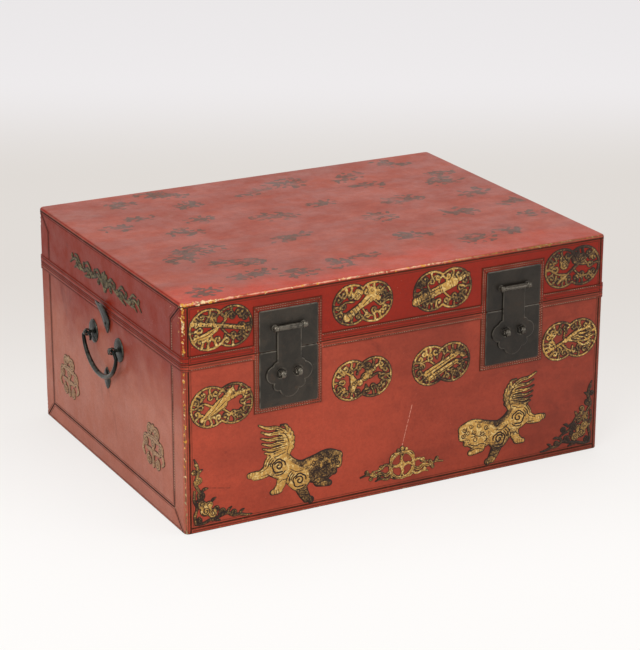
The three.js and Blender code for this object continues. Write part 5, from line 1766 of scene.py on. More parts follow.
@dataclass(frozen=True)
class BrocadeBall:
    """The ball that the lions play with: a ring round a pierced coin pattern, and two leafy ribbons."""

    def relief(self) -> Relief:
        """The ball's ring, arcs, petals and flower, and the ribbons with their curls."""
        net = []
        for angle in np.radians(np.arange(45, 360, 90)):
            net.append(arc(13.5 * math.cos(angle), 13.5 * math.sin(angle), 9.5, 0, 360, 0.75, 30))
            petal = 3.5 * math.cos(angle + 0.8), 3.5 * math.sin(angle + 0.8)
            net.append(leaf(*petal, 11, math.degrees(angle) + 45, 1.7))
        sixths = np.radians(np.arange(0, 360, 60))
        flower = [dots(3.4 * np.stack([np.cos(sixths), np.sin(sixths)], axis=1), 1.8), dots([(0, 0)], 1.9)]
        curls = ((33, 2, 220, 3.2), (45, -4, 240, 3.0), (56, -1, 220, 2.8), (37, -13, 100, 2.8),
                 (50, -12, 100, 2.6))
        ribbons = both(
            stroke([(17, -6), (26, -11), (35, -6), (44, -9), (54, -5), (66, -7)], (2.4, 2.2, 1.9, 1.5, 0.6)),
            stroke([(19, 3), (28, 4), (35, -1), (42, -2)], (1.5, 1.6, 1.1, 0.6)),
            stroke([(15, -13), (24, -17), (34, -15), (42, -17)], (1.6, 1.6, 1.1, 0.5)),
            *(curl(x, z, size, start, False, 0.95) for x, z, start, size in curls),
        )
        cuts = [arc(0, 0, 19.0, 0, 360, 0.3, 60), arc(0, 0, 1.2, 0, 360, 0.25, 8),
                both(stroke([(19, -7), (26, -11), (35, -6), (44, -9)], (0.4, 0.4)))]
        layers = (
            Layer([ribbons], 1.35, 1.1, 0.25), Layer([arc(0, 0, 19.0, 0, 360, 1.9, 60)], 1.5, 1.2, 0.80),
            Layer(net, 1.3, 0.8, 0.65), Layer(flower, 1.6, 1.2, 0.95),
            Layer([dots([(0, 24.5), (-6.5, 22.5), (6.5, 22.5)], (3.2, 2.2, 2.2))], 1.4, 1.4, 0.55),
        )
        return Relief((-69, 69, -22, 30), layers, cuts, 0.4, step=0.62)


@dataclass(frozen=True)
class CornerScroll:
    """Leafy tendrils round a gilt cloud, in a lower corner of the front. The corner is at the left."""

    full: bool = False

    def relief(self) -> Relief:
        """The cloud's lobes, and tendrils with curls and leaves up one edge and along the other."""
        cloud = [dots([(20, 22), (30, 16), (14, 31), (25, 29)], (8.4, 6.4, 6.2, 5.2))]
        vines = [
            stroke([(4, 98), (8, 88), (9, 76), (5, 64), (9, 54), (14, 47)], (0.5, 1.7, 2.0, 2.0, 1.8, 1.6)),
            stroke([(4, 52), (3, 40), (7, 28), (4, 16), (5, 4)], (1.2, 1.7, 1.7, 1.7, 1.4)),
            stroke([(30, 6), (42, 10), (52, 12), (60, 7), (70, 6.5), (80, 3.5), (88, 3)],
                   (1.8, 1.9, 1.8, 1.7, 1.4, 0.5)),
            stroke([(5, 4), (16, 3.5), (28, 7), (40, 3.5)], (1.4, 1.7, 1.6, 1.0)),
        ]
        curls = [
            (12, 44, 6.5, 240, False, 1.6), (45, 15, 4.6, 200, True, 1.4), (62, 11, 3.6, 220, True, 1.2),
            (10, 67, 4.4, 250, False, 1.3), (3.5, 80, 3.2, 300, True, 1.1), (36, 21, 3.6, 180, True, 1.2),
            (11, 9, 3.8, 100, False, 1.2),
        ]
        leaves = [(9, 76, 9, 40, 1.7), (8, 86, 8, 110, 1.4), (6, 60, 9, 30, 1.7), (14, 50, 10, 20, 1.9),
                  (52, 12, 10, 50, 1.7), (70, 7, 9, 40, 1.5), (40, 9, 9, 70, 1.7), (28, 32, 9, 40, 1.7)]
        if self.full:
            vines += [stroke([(12, 44), (20, 50), (28, 46), (34, 38), (42, 34)], (1.5, 1.8, 1.7, 1.6, 1.2)),
                      stroke([(34, 38), (40, 28), (50, 24), (58, 18)], (1.6, 1.6, 1.5, 1.2))]
            curls += [(36, 30, 5.2, 60, False, 1.5), (24, 42, 4.6, 300, True, 1.4),
                      (51, 30, 4.0, 200, True, 1.3), (20, 58, 4.0, 250, True, 1.3)]
            leaves += [(42, 34, 9, 30, 1.7), (28, 47, 9, 70, 1.7), (58, 18, 9, 10, 1.6)]
        vines += [curl(*values) for values in curls] + [leaf(*values) for values in leaves]
        cuts = [spiral(20, 21, (6.4, 1.4), 200, 1.7, (0.6, 0.5)),
                spiral(30, 16, (4.2, 1.2), 90, 1.3, (0.45, 0.4)),
                spiral(14, 32, (4.0, 1.2), 300, 1.3, (0.45, 0.4)), arc(25, 29, 3.0, 0, 240, 0.4, 12)]
        layers = (Layer(vines, 1.3, 1.2, 0.0), Layer(cloud, 1.75, 2.2, 0.75))
        return Relief((0, 92, 0, 101), layers, cuts, 0.5, step=0.66)


@dataclass(frozen=True)
class SideCloud:
    """A flat gilt cloud with three ruyi heads and curled feet, on the middle of each half of a side."""

    def relief(self) -> Relief:
        """Broad bands: three pairs of inward curls round a centre, a neck and two spread feet."""
        curls = ((11, 22, 8.2, 160, 3.0), (24, 3, 7.6, 100, 2.8), (13, -21, 7.0, 70, 2.6))
        bold = [
            both(*(curl(x, z, size, start, True, width) for x, z, size, start, width in curls),
                 stroke([(31, -4), (34, -12), (28, -18)], (2.4, 2.4, 1.4))),
            stroke([(-4, 26), (0, 31), (4, 26)], (2.6, 3.0, 2.6), 5), dots([(0, 6)], 7.0),
            stroke([(-18, 12), (-10, 12), (0, 14), (10, 12), (18, 12)], (2.6, 3.2, 3.4, 3.2, 2.6)),
            stroke([(0, 4), (0, -12), (0, -26)], (3.6, 3.0, 3.4)),
            stroke([(-20, -6), (-8, -6), (0, -8), (8, -6), (20, -6)], (2.2, 2.8, 3.0, 2.8, 2.2)),
        ]
        cuts = [
            arc(0, 6, 4.0, 0, 360, 0.5, 24), stroke([(0, -2), (0, -24)], (0.5, 0.5), 4),
            stroke([(-16, 12.5), (0, 15), (16, 12.5)], (0.35, 0.35)), dots([(0, 6)], 1.0),
            both(*(spiral(x, z, (size, size * 0.25), start, -1.3, (0.5, 0.4))
                   for x, z, size, start, _ in curls)),
        ]
        layers = (Layer(bold, 1.5, 1.1, 0.9),)
        return Relief((-38.5, 38.5, -34.5, 35.5), layers, cuts, 0.4, step=0.66, rim=1.0)


@dataclass(frozen=True)
class LidCloud:
    """The long scroll under the lid's edge on each side: a palmette with knotted tendrils both ways."""

    def relief(self) -> Relief:
        """A comb-cut palmette in the middle, ring knots with leaves, and curled ends."""
        curls = ((22, -7, 100, 4.4), (34, 4, 240, 4.2), (60, -7, 90, 4.0), (74, 3, 240, 3.8),
                 (101, -2, 100, 3.4), (116, 5, 240, 3.2))
        parts = [
            stroke([(0, -12), (0, 0), (0, 12)], (5.0, 8.0, 2.2)), dots([(-8, -2), (8, -2)], 5.4),
            dots([(-6, 7), (6, 7)], 3.8),
            both(
                stroke([(10, -4), (22, 2), (34, -3), (46, -5)], (2.6, 2.4, 2.2, 2.0)),
                stroke([(46, -5), (60, 0), (74, -6), (88, -4)], (2.0, 2.2, 2.0, 1.8)),
                stroke([(88, -4), (102, 3), (114, 0), (125, -7)], (1.8, 1.8, 1.4, 0.6)),
                stroke([(14, 4), (24, 9), (34, 6)], (1.8, 1.8, 0.6), 5),
                stroke([(50, 3), (60, 9), (70, 6)], (1.7, 1.7, 0.6), 5),
                stroke([(52, -9), (62, -11), (72, -13)], (1.7, 1.6, 0.6), 5),
                stroke([(90, 3), (98, 9), (108, 9)], (1.6, 1.5, 0.5), 5),
                stroke([(92, -8), (102, -7), (110, -11)], (1.5, 1.4, 0.5), 5),
                *(curl(x, z, size, start, False, 1.2) for x, z, start, size in curls),
            ),
            *(arc(x, -4, 3.4, 0, 360, 1.4, 20) for x in (-86, -45, 45, 86)),
        ]
        knots = (((10, -4), (22, 2)), ((22, 2), (34, -3)), ((48, -5), (60, 0)), ((60, 0), (74, -6)),
                 ((90, -3), (102, 3)))
        cuts = [stroke([(x * 0.4, -9), (x, 0), (x * 1.5, 8)], (0.35, 0.4, 0.3), 5)
                for x in (-7, -4.6, -2.2, 0, 2.2, 4.6, 7)]
        cuts.append(both(*(bands(low, high, (0.2, 0.4, 0.6, 0.8), 1.7, 0.28) for low, high in knots)))
        return Relief((-128, 128, -16, 15.5), (Layer(parts, 1.5, 1.4, 0.55),), cuts, 0.5, step=0.7, rim=0.9)


@dataclass
class Ornaments:
    """Every raised ornament, glued on the front and the sides."""

    finishes: Finishes
    bays: tuple[float, ...] = (-274.5, -62.5, 62.5, 274.5)
    lid_height: float = 286.2
    base_height: float = 177.5
    lion_place: tuple[float, float] = (166.0, 64.6)
    ball_place: tuple[float, float] = (2.0, 37.8)
    scroll_place: tuple[float, float] = (320.0, 9.0)
    cloud_place: tuple[float, float] = (150.0, 91.0)
    lid_cloud_height: float = 283.0

    def build(self) -> None:
        """Makes and sets down every ornament."""
        gilt, dark = self.finishes.gilt, self.finishes.dark_gilt
        count = len(self.bays)
        for number, emblem in enumerate(Emblem):
            part, height = ("lid", self.lid_height) if number < count else ("base", self.base_height)
            finish = dark if emblem is Emblem.LOTUS else gilt
            relief = Medallion(emblem).relief().shape()
            relief = relief.placed(Wall.FRONT, self.bays[number % count], 0, height)
            self.glue(relief, f"{emblem.value}_relief", finish, part, emblem.value)
        lion, lion_height = self.lion_place
        ball, ball_height = self.ball_place
        scroll, scroll_height = self.scroll_place
        panel = "base_front_leather"
        for name, drawn, mirror, across, height, finish, node in (
            ("left_lion_relief", Lion(), False, -lion, lion_height, gilt, "left_lion"),
            ("right_lion_relief", Lion(0.75, 0.25, 0.0), True, lion, lion_height, gilt, "right_lion"),
            ("brocade_ball_relief", BrocadeBall(), False, ball, ball_height, gilt, "brocade_ball"),
            ("left_corner_scroll", CornerScroll(), False, -scroll, scroll_height, gilt, panel),
            ("right_corner_scroll", CornerScroll(True), True, scroll, scroll_height, dark, panel),
        ):
            shape = drawn.relief().shape().turned_over(mirror).placed(Wall.FRONT, across, 0, height)
            self.glue(shape, name, finish, "base", node)
        self.sides()

    def glue(self, shape: Shape, name: str, finish: bpy.types.Material, body: str, node: str) -> None:
        """Makes one ornament and sets it down."""
        set_down(shape.build(name, finish), body, "gilt_relief", node)

    def sides(self) -> None:
        """The clouds on both sides of the base and the scrolls on both sides of the lid."""
        cloud, scroll = SideCloud().relief().shape(), LidCloud().relief().shape()
        pale, bronze = self.finishes.pale_gilt, self.finishes.bronze
        for side, wall, sign in (("left", Wall.LEFT, -1), ("right", Wall.RIGHT, 1)):
            for name, y in (("front", -self.cloud_place[0]), ("back", self.cloud_place[0])):
                shape = cloud.placed(wall, sign * y, 0, self.cloud_place[1])
                self.glue(shape, f"{side}_{name}_cloud", pale, "base", f"base_{side}_leather")
            shape = scroll.placed(wall, sign * HANDLE_Y, 0, self.lid_cloud_height)
            self.glue(shape, f"{side}_lid_cloud", bronze, "lid", f"lid_{side}_leather")


# Ironwork

PLATE_BACK = 1.6
PLATE_FACE = 3.4
ROD_OUT = 8.3
ROD_HEIGHT = 274.0
HINGE_X = 190.0


class Axis(Enum):
    """The way that a turned piece's axis runs on its wall."""

    ACROSS = "across"
    OUT = "out"


def round_angles(count: int) -> np.ndarray:
    """Angles in radians, spread evenly over a whole turn."""
    return np.linspace(0, 2 * math.pi, count, endpoint=False)


def turned(
    profile: Sequence[Sequence[float]], axis: Axis, count: int = 28, bright: float = 0.0
) -> Shape:
    """A solid of revolution with flat ends.

    Args:
        profile: rows of place along the axis and radius, from one end to the other.
        axis: the axis's way.
        count: points round each ring.
        bright: how rubbed the surface is, which also sets how much painted highlight it gets.

    Returns:
        The shape round the origin of its wall's directions.
    """
    rows, angle = np.asarray(profile, float), round_angles(count)
    a, b = rows[:, 1:] * np.cos(angle), rows[:, 1:] * np.sin(angle)
    along = np.broadcast_to(rows[:, :1], a.shape)
    grid = np.stack([along, a, b] if axis is Axis.ACROSS else [a, along, b], axis=-1)
    return loft(grid, False, {"bright": np.full(a.shape, bright)})


def hoop(radius: float, bore: float, width: float, bright: float) -> Shape:
    """A ring round an axis along the wall; its section is a rounded oblong, |c|^0.6 by |s|^0.6."""
    angle, turn = round_angles(36)[:, None], round_angles(14)[None]
    c, s = np.cos(turn), np.sin(turn)
    aside = width / 2 * np.sign(s) * np.abs(s) ** 0.6
    size = (radius + bore) / 2 + (radius - bore) / 2 * np.sign(c) * np.abs(c) ** 0.6
    grid = np.stack(np.broadcast_arrays(aside, size * np.cos(angle), size * np.sin(angle)), axis=-1)
    return loft(grid, True, {"bright": np.full(grid.shape[:2], bright)})


def oblong(x: np.ndarray, z: np.ndarray, box: Box, radius: float) -> np.ndarray:
    """Depth inside a box with round corners: the usual distance to a shrunken box, less the radius."""
    left, right, low, high = box
    over_x = np.abs(x - (left + right) / 2) - (right - left) / 2 + radius
    over_z = np.abs(z - (low + high) / 2) - (high - low) / 2 + radius
    outside = np.hypot(np.maximum(over_x, 0), np.maximum(over_z, 0))
    return radius - outside - np.minimum(np.maximum(over_x, over_z), 0)


def plate(
    box: Box, radius: float, back: float, face: float, step: float = 1.1, bevel: float = 0.8
) -> Shape:
    """A hammered plate with round corners and a bevelled edge."""

    def surface(x: np.ndarray, z: np.ndarray, inside: np.ndarray) -> Face:
        """The face, a little uneven, falling at its edge."""
        t = np.clip(inside / bevel, 0, 1)
        dents = 0.09 * np.sin(x / 5.1 + 1.7 * np.sin(z / 7.3)) * np.sin(z / 4.3 + np.sin(x / 6.1))
        out = face - 0.65 * bevel * (1 - t) ** 2 + dents * np.clip(inside / 3, 0, 1)
        return out, {"bright": np.clip(1 - np.abs(inside - 0.6), 0, 1) * 0.8}

    margin = step * 1.5
    window = (box[0] - margin, box[1] + margin, box[2] - margin, box[3] + margin)
    return carve(window, step, lambda x, z: oblong(x, z, box, radius), surface, back)


def leaf_plate(half_width: float, half_height: float, edge: float, rise: float) -> Shape:
    """A hammered leaf between two arcs, with a low ridge from point to point.

    The arcs have the radius R = (a^2 + h^2) / 2a. Rings of the same outline shrink to the middle while
    the face climbs as rise (1 - s^2)^0.7.
    """
    radius = (half_width**2 + half_height**2) / (2 * half_width)
    sweep = math.asin(half_height / radius)
    angle = np.linspace(-sweep, sweep, 15)[:-1]
    right = np.stack([half_width - radius + radius * np.cos(angle), radius * np.sin(angle)], axis=1)
    outline = np.concatenate([right, -right])
    share = np.array([1.0, 1.0, 0.985, 0.95, 0.85, 0.7, 0.5, 0.3, 0.12, 0.02])
    out = edge + rise * (1 - share**2) ** 0.7
    out[:3] = (-0.1, edge * 0.75, edge)
    flat = share[:, None, None] * outline[None]
    grid = np.stack([flat[..., 0], np.broadcast_to(out[:, None], flat.shape[:2]), flat[..., 1]], axis=-1)
    bright = np.broadcast_to(np.array([0, 0.8, 0.8, 0.4, 0.1, 0, 0, 0.2, 0.5, 0.5])[:, None], flat.shape[:2])
    return loft(grid, False, {"bright": bright})


def nail(radius: float, face: float, height: float) -> Shape:
    """A domed nail head that stands on a face."""
    rows = [(face - 0.3, radius * 0.97), (face + height * 0.15, radius),
            (face + height * 0.55, radius * 0.82), (face + height * 0.88, radius * 0.45),
            (face + height, radius * 0.08)]
    return turned(rows, Axis.OUT, 16, bright=0.5)


def shift(shape: Shape, across: float, out: float, height: float) -> Shape:
    """A wall shape moved along its wall's directions."""
    return Shape(shape.points + np.array([across, out, height]), shape.faces, shape.fields)


@dataclass
class LockSet:
    """One lock: two plates, two eyes for a padlock's bar, and a hasp that hangs on its rod."""

    side: str
    across: float
    finishes: Finishes
    half_width: float = 44.0
    upper_span: tuple[float, float] = (242.5, 300.0)
    lower_span: tuple[float, float] = (162.0, 241.5)
    plate_corner: float = 2.6
    eye_height: float = 209.0
    eye_spacing: float = 25.0
    eye_out: float = 9.6
    rod_eye: float = 21.3
    head_height: float = 207.0
    strap_half: float = 18.0
    hasp_back: float = 4.0
    hasp_face: float = 5.7
    strap_top: float = 271.5
    hole: float = 6.8

    def build(self) -> None:
        """Makes and sets down the lock's pieces."""
        side = self.side
        upper, lower = (
            plate((-self.half_width, self.half_width, *span), self.plate_corner, PLATE_BACK, PLATE_FACE)
            for span in (self.upper_span, self.lower_span)
        )
        parts = [
            ("upper_plate", upper, "lid", f"{side}_upper_lock_plate"),
            ("lower_plate", lower, "base", f"{side}_lower_lock_plate"),
            ("rod_with_eyes", self.rod(), "lid", f"{side}_hasp_rod"),
            ("cloud_hasp", join([self.head(), self.roll()]), f"{side}_hasp", f"{side}_hasp"),
            ("left_ring_eye", self.eye(-1), "base", f"{side}_lock_left_eye"),
            ("right_ring_eye", self.eye(1), "base", f"{side}_lock_right_eye"),
        ]
        for name, shape, body, node in parts:
            piece = shape.placed(Wall.FRONT, self.across).build(f"{side}_{name}", self.finishes.iron)
            set_down(piece, body, "iron", node)

    def head(self) -> Shape:
        """The strap and the cloud-shaped head, with a hole for each eye and a bevelled edge."""
        lobes = [(0, -2, 20), (0, -18.5, 15)]
        for a, b, r in ((21.5, 1, 13), (17.5, 12, 7), (16, -15, 8)):
            lobes += [(a, b, r), (-a, b, r)]
        box = (-self.strap_half, self.strap_half, self.head_height, self.strap_top)

        def depth(x: np.ndarray, z: np.ndarray) -> np.ndarray:
            """Inside the strap or a lobe, and outside both holes."""
            body = oblong(x, z, box, 0.5)
            for a, b, r in lobes:
                body = np.maximum(body, r - np.hypot(x - a, z - self.head_height - b))
            for sign in (-1, 1):
                hole = np.hypot(x - sign * self.eye_spacing / 2, z - self.eye_height) - self.hole
                body = np.minimum(body, hole)
            return body

        def surface(x: np.ndarray, z: np.ndarray, inside: np.ndarray) -> Face:
            """A flat face with a bevel, a line cut beside it on the head, and slight dents."""
            t = np.clip(inside / 0.8, 0, 1)
            line = np.exp(-(((inside - 2.4) / 0.45) ** 2)) * (z < self.head_height + 21)
            dents = 0.06 * np.sin(x / 4.1 + 2 * np.sin(z / 6.3)) * np.clip(inside / 3, 0, 1)
            out = self.hasp_face - 0.5 * (1 - t) ** 2 - 0.22 * line + dents
            return out, {"bright": np.clip(1 - np.abs(inside - 0.5) / 0.8, 0, 1)}

        return carve((-36, 36, 171.5, 273), 0.72, depth, surface, self.hasp_back)

    def roll(self) -> Shape:
        """The strap's end rolled round the rod, open through its bore, fluted between two beads.

        With n flutes the radius is multiplied by 1 - deep |sin(n a / 2)| between the beads.
        """
        half, radius, bore, flutes, deep = 17.9, 3.8, 2.3, 10, 0.12
        end = [(half, bore), (half, radius - 0.5), (half - 0.5, radius), (half - 1.6, radius),
               (half - 2.0, radius - 0.5), (half - 2.6, radius - 0.15)]
        rows = np.array([(-place, size) for place, size in end] + [(0, radius - 0.05)] + end[::-1])
        angle = round_angles(40)
        fluted = (np.abs(rows[:, 0]) < half - 2.3)[:, None]
        size = rows[:, 1:] * (1 - deep * fluted * np.abs(np.sin(flutes * angle / 2)))
        along = np.broadcast_to(rows[:, :1], size.shape)
        grid = np.stack([along, size * np.cos(angle), size * np.sin(angle)], axis=-1)
        return shift(loft(grid, True, {"bright": np.full(size.shape, 0.55)}), 0, ROD_OUT, ROD_HEIGHT)

    def rod(self) -> Shape:
        """The rod, with a domed rosette at each end, in two barrel eyes on flared feet."""
        ends = [(24.3, 1.9), (24.3, 3.3), (24.9, 3.5), (25.4, 2.7), (25.65, 1.3), (25.7, 0.1)]
        barrel = [(0.5, 3.8), (0.9, 4.2), (2.3, 4.1), (2.9, 3.6), (3.0, 2.9)]
        foot = [(0.1, 4.4), (0.7, 4.5), (1.2, 3.6), (2.2, 3.0)]
        foot = [(PLATE_FACE + rise, radius) for rise, radius in foot]
        foot.append((ROD_OUT, 2.9))
        ends, barrel = ([(-place, radius) for place, radius in rows[::-1]] + rows for rows in (ends, barrel))
        parts = [shift(turned(ends, Axis.ACROSS, 24, bright=0.6), 0, ROD_OUT, ROD_HEIGHT)]
        for x in (-self.rod_eye, self.rod_eye):
            parts.append(shift(turned(barrel, Axis.ACROSS, 28, bright=0.8), x, ROD_OUT, ROD_HEIGHT))
            parts.append(shift(turned(foot, Axis.OUT, 24, bright=0.3), x, 0, ROD_HEIGHT))
        return join(parts)

    def eye(self, sign: int) -> Shape:
        """A thick ring for the padlock's bar, on a round collar."""
        collar = [(0.1, 5.1), (0.9, 5.1), (1.4, 4.7), (1.6, 4.0)]
        collar = turned([(PLATE_FACE + rise, radius) for rise, radius in collar], Axis.OUT, 28)
        ring = shift(hoop(5.6, 3.2, 6.0, 0.75), 0, self.eye_out, 0)
        return shift(join([ring, collar]), sign * self.eye_spacing / 2, 0, self.eye_height)


@dataclass
class Handle:
    """The iron on one side: two eye posts, the bail between them, the strike plate and the lid's guide."""

    side: str
    wall: Wall
    finishes: Finishes
    height: float = 196.0
    half_spacing: float = 45.0
    backset: float = 11.0
    bow_half: float = 59.0
    bow_drop: float = 49.0
    thin: float = 2.4
    thick: float = 3.7
    strike_height: float = 140.0
    guide_low: float = 211.0
    guide_length: float = 43.0
    guide_bend: float = 15.0
    sharp: float = 45.0

    def build(self) -> None:
        """Makes and sets down this side's pieces."""
        side, reach_out = self.side, self.front * self.half_spacing
        parts = [
            ("front_post", shift(self.post(), reach_out, 0, self.height), "base", "handle_front_post"),
            ("back_post", shift(self.post(), -reach_out, 0, self.height), "base", "handle_back_post"),
            ("strike_leaf", shift(leaf_plate(10.5, 16.5, 1.2, 1.6), 0, 0, self.strike_height), "base",
             "strike_plate"),
            ("guide_tongue", self.tongue(), "base", "lid_guide"),
            ("bail", self.bail(), f"{side}_bail", "bail_handle"),
        ]
        for name, shape, body, node in parts:
            shape = shape.placed(self.wall, -self.front * HANDLE_Y)
            piece = shape.build(f"{side}_{name}", self.finishes.cold_iron, self.sharp)
            set_down(piece, body, "iron", f"{side}_{node}")

    @property
    def front(self) -> int:
        """The way to the case's front: 1 for to the right on the left wall and -1 on the right wall."""
        return 1 if self.wall is Wall.LEFT else -1

    def post(self) -> Shape:
        """A leaf plate, a flared neck and the ring that holds the bail's end."""
        neck = [(0.6, 4.6), (1.6, 3.6), (2.6, 2.7), (4.0, 2.3), (5.4, 2.4), (6.9, 2.9)]
        return join([leaf_plate(15.5, 17.8, 1.5, 1.9), turned(neck, Axis.OUT, 24, bright=0.3),
                     shift(hoop(5.4, 3.2, 4.0, 0.6), 0, self.backset, 0)])

    def tongue(self) -> Shape:
        """A ribbed leaf whose upper end bends outwards: half width a sin(1.57 t / 0.6), then an arc."""
        t = np.linspace(0, 1, 41)
        low, length, bend = self.guide_low, self.guide_length, self.guide_bend
        rise = np.maximum(0, t * length - bend) / (length - bend)
        taper = np.sin(math.pi / 2 * np.clip(t / 0.6, 0, 1))
        crown = np.sqrt(1 - np.clip((t - 0.7) / 0.305, 0, 1) ** 3)
        half = 0.7 + 13.6 * np.minimum(taper, crown)
        out = 1.8 + 8.0 * rise**1.7
        edge = out + 1.8
        aside, rise = np.array([
            (-1, 0), (-0.9, 0), (0.9, 0), (1, 0), (1, 0.7), (0.93, 1.0), (0.6, 1.15), (0.2, 1.35), (0, 1.0),
            (-0.2, 1.35), (-0.6, 1.15), (-0.93, 1.0), (-1, 0.7),
        ]).T[:, None]
        lean = self.front * (11.0 - 16.0 * t)
        across = lean[:, None] + half[:, None] * aside
        rib = 1.4 * (half / 14.3)[:, None] * np.clip(1 - np.abs(aside), 0, 1)
        depth = out[:, None] + (edge - out)[:, None] * np.minimum(rise, 1.0) + rib * (rise > 0.9)
        height = np.broadcast_to((low + length * t)[:, None], across.shape)
        bright = np.broadcast_to(np.clip(np.abs(aside) - 0.85, 0, 0.1) * 8, height.shape)
        tongue = loft(np.stack([across, depth, height], axis=-1), False, {"bright": bright})
        return join([tongue, shift(nail(2.2, 4.6, 1.2), self.front * 6.2, 0, low + length * 0.3)])

    def bail(self) -> Shape:
        """A rod bent in a wide U, thick in the middle; its thin ends pass the rings and curl down."""
        curl_radius, turn = 4.6, 0.75 * math.pi
        inner = self.half_spacing - 2 - curl_radius - 1.5
        angle = turn * np.linspace(1, 0, 12)
        end = np.stack([inner - curl_radius * np.sin(angle), curl_radius * (np.cos(angle) - 1),
                        np.linspace(self.thin * 0.62, self.thin * 0.85, 12)], axis=1)
        through = [(self.half_spacing + place, fall, self.thin)
                   for place, fall in ((-2, 0), (0, 0), (3, -0.3), (7, -1.1))]
        bow = np.linspace(0.16, math.pi / 2, 26)
        swell = self.thin + (self.thick - self.thin) * np.sin(bow)
        arch = np.stack([self.bow_half * np.cos(bow), -self.bow_drop * np.sin(bow), swell], axis=1)
        half = np.concatenate([end, through, arch])
        path = np.concatenate([half, (half[:-1] * np.array([-1, 1, 1]))[::-1]])
        way = np.gradient(path[:, :2], axis=0)
        way /= np.linalg.norm(way, axis=1, keepdims=True)
        for close, forth in ((0.75, 0.45), (0.3, 0.3)):
            for tip, sign in ((0, -1), (-1, 1)):
                place = path[tip, :2] + sign * way[tip] * path[tip, 2] * forth
                row = np.array([[*place, path[tip, 2] * close]])
                path = np.concatenate([row, path] if tip == 0 else [path, row])
                way = np.concatenate([way[:1], way] if tip == 0 else [way, way[-1:]])
        side = np.stack([-way[:, 1], way[:, 0]], axis=1)
        around = round_angles(16)
        n = path[:, 2:3] * np.cos(around)
        across = path[:, :1] + side[:, :1] * n
        height = self.height + path[:, 1:2] + side[:, 1:2] * n
        out = self.backset + path[:, 2:3] * np.sin(around)
        bright = np.broadcast_to(np.clip(path[:, 2:3] - 2.9, 0, 0.5), n.shape)
        return loft(np.stack([across, out, height], axis=-1), False, {"bright": bright})


@dataclass
class Hinge:
    """A back hinge: two nailed leaves, the base's with two knuckles and the pin, the lid's with one."""

    side: str
    across: float
    finishes: Finishes
    half: float = 32.0
    axis_out: float = 5.8
    axis_height: float = 242.0
    knuckle: float = 4.0

    def build(self) -> None:
        """Makes and sets down the two halves."""
        third = (self.half - 3) / 3
        parts = (("lower_hinge", -1, ((-3 * third, -third), (third, 3 * third)), "base"),
                 ("upper_hinge", 1, ((-third + 0.4, third - 0.4),), "lid"))
        for name, up, spans, body in parts:
            name = f"{self.side}_{name}"
            shape = join([self.leaf(up, spans), *(self.barrel(low, high, up < 0) for low, high in spans)])
            piece = shape.placed(Wall.BACK, self.across).build(f"{name}_iron", self.finishes.cold_iron)
            set_down(piece, body, "iron", name)

    def leaf(self, up: int, spans: Sequence[tuple[float, float]]) -> Shape:
        """The nailed leaf, with tongues of its plate that reach the knuckles."""
        near, far = self.axis_height + up * 4.5, self.axis_height + up * 30
        parts = [plate((-self.half, self.half, *sorted((near, far))), 3.0, PLATE_BACK, 3.3)]
        for start, stop in spans:
            box = (start + 0.1, stop - 0.1, *sorted((near - up * 4.4, near + up)))
            parts.append(plate(box, 0.2, PLATE_BACK, 3.25, 0.9, 0.3))
        for x in (-24, 0, 24):
            parts.append(shift(nail(2.6, 3.2, 1.5), x, 0, near + up * (18 if x == 0 else 12)))
        return join(parts)

    def barrel(self, low: float, high: float, pinned: bool) -> Shape:
        """One knuckle with eased edges; the pin's head shows at the outer end of each of the base's."""
        size = self.knuckle
        rows = [(low, 2.2), (low, size - 0.4), (low + 0.4, size), (high - 0.4, size),
                (high, size - 0.4), (high, 2.2)]
        if pinned:
            rows = [(low, 1.0), (low, 2.1), *rows[1:-1], (high, 2.1), (high, 1.0)]
        return shift(turned(rows, Axis.ACROSS, 28, bright=0.3), 0, self.axis_out, self.axis_height)


# The studio


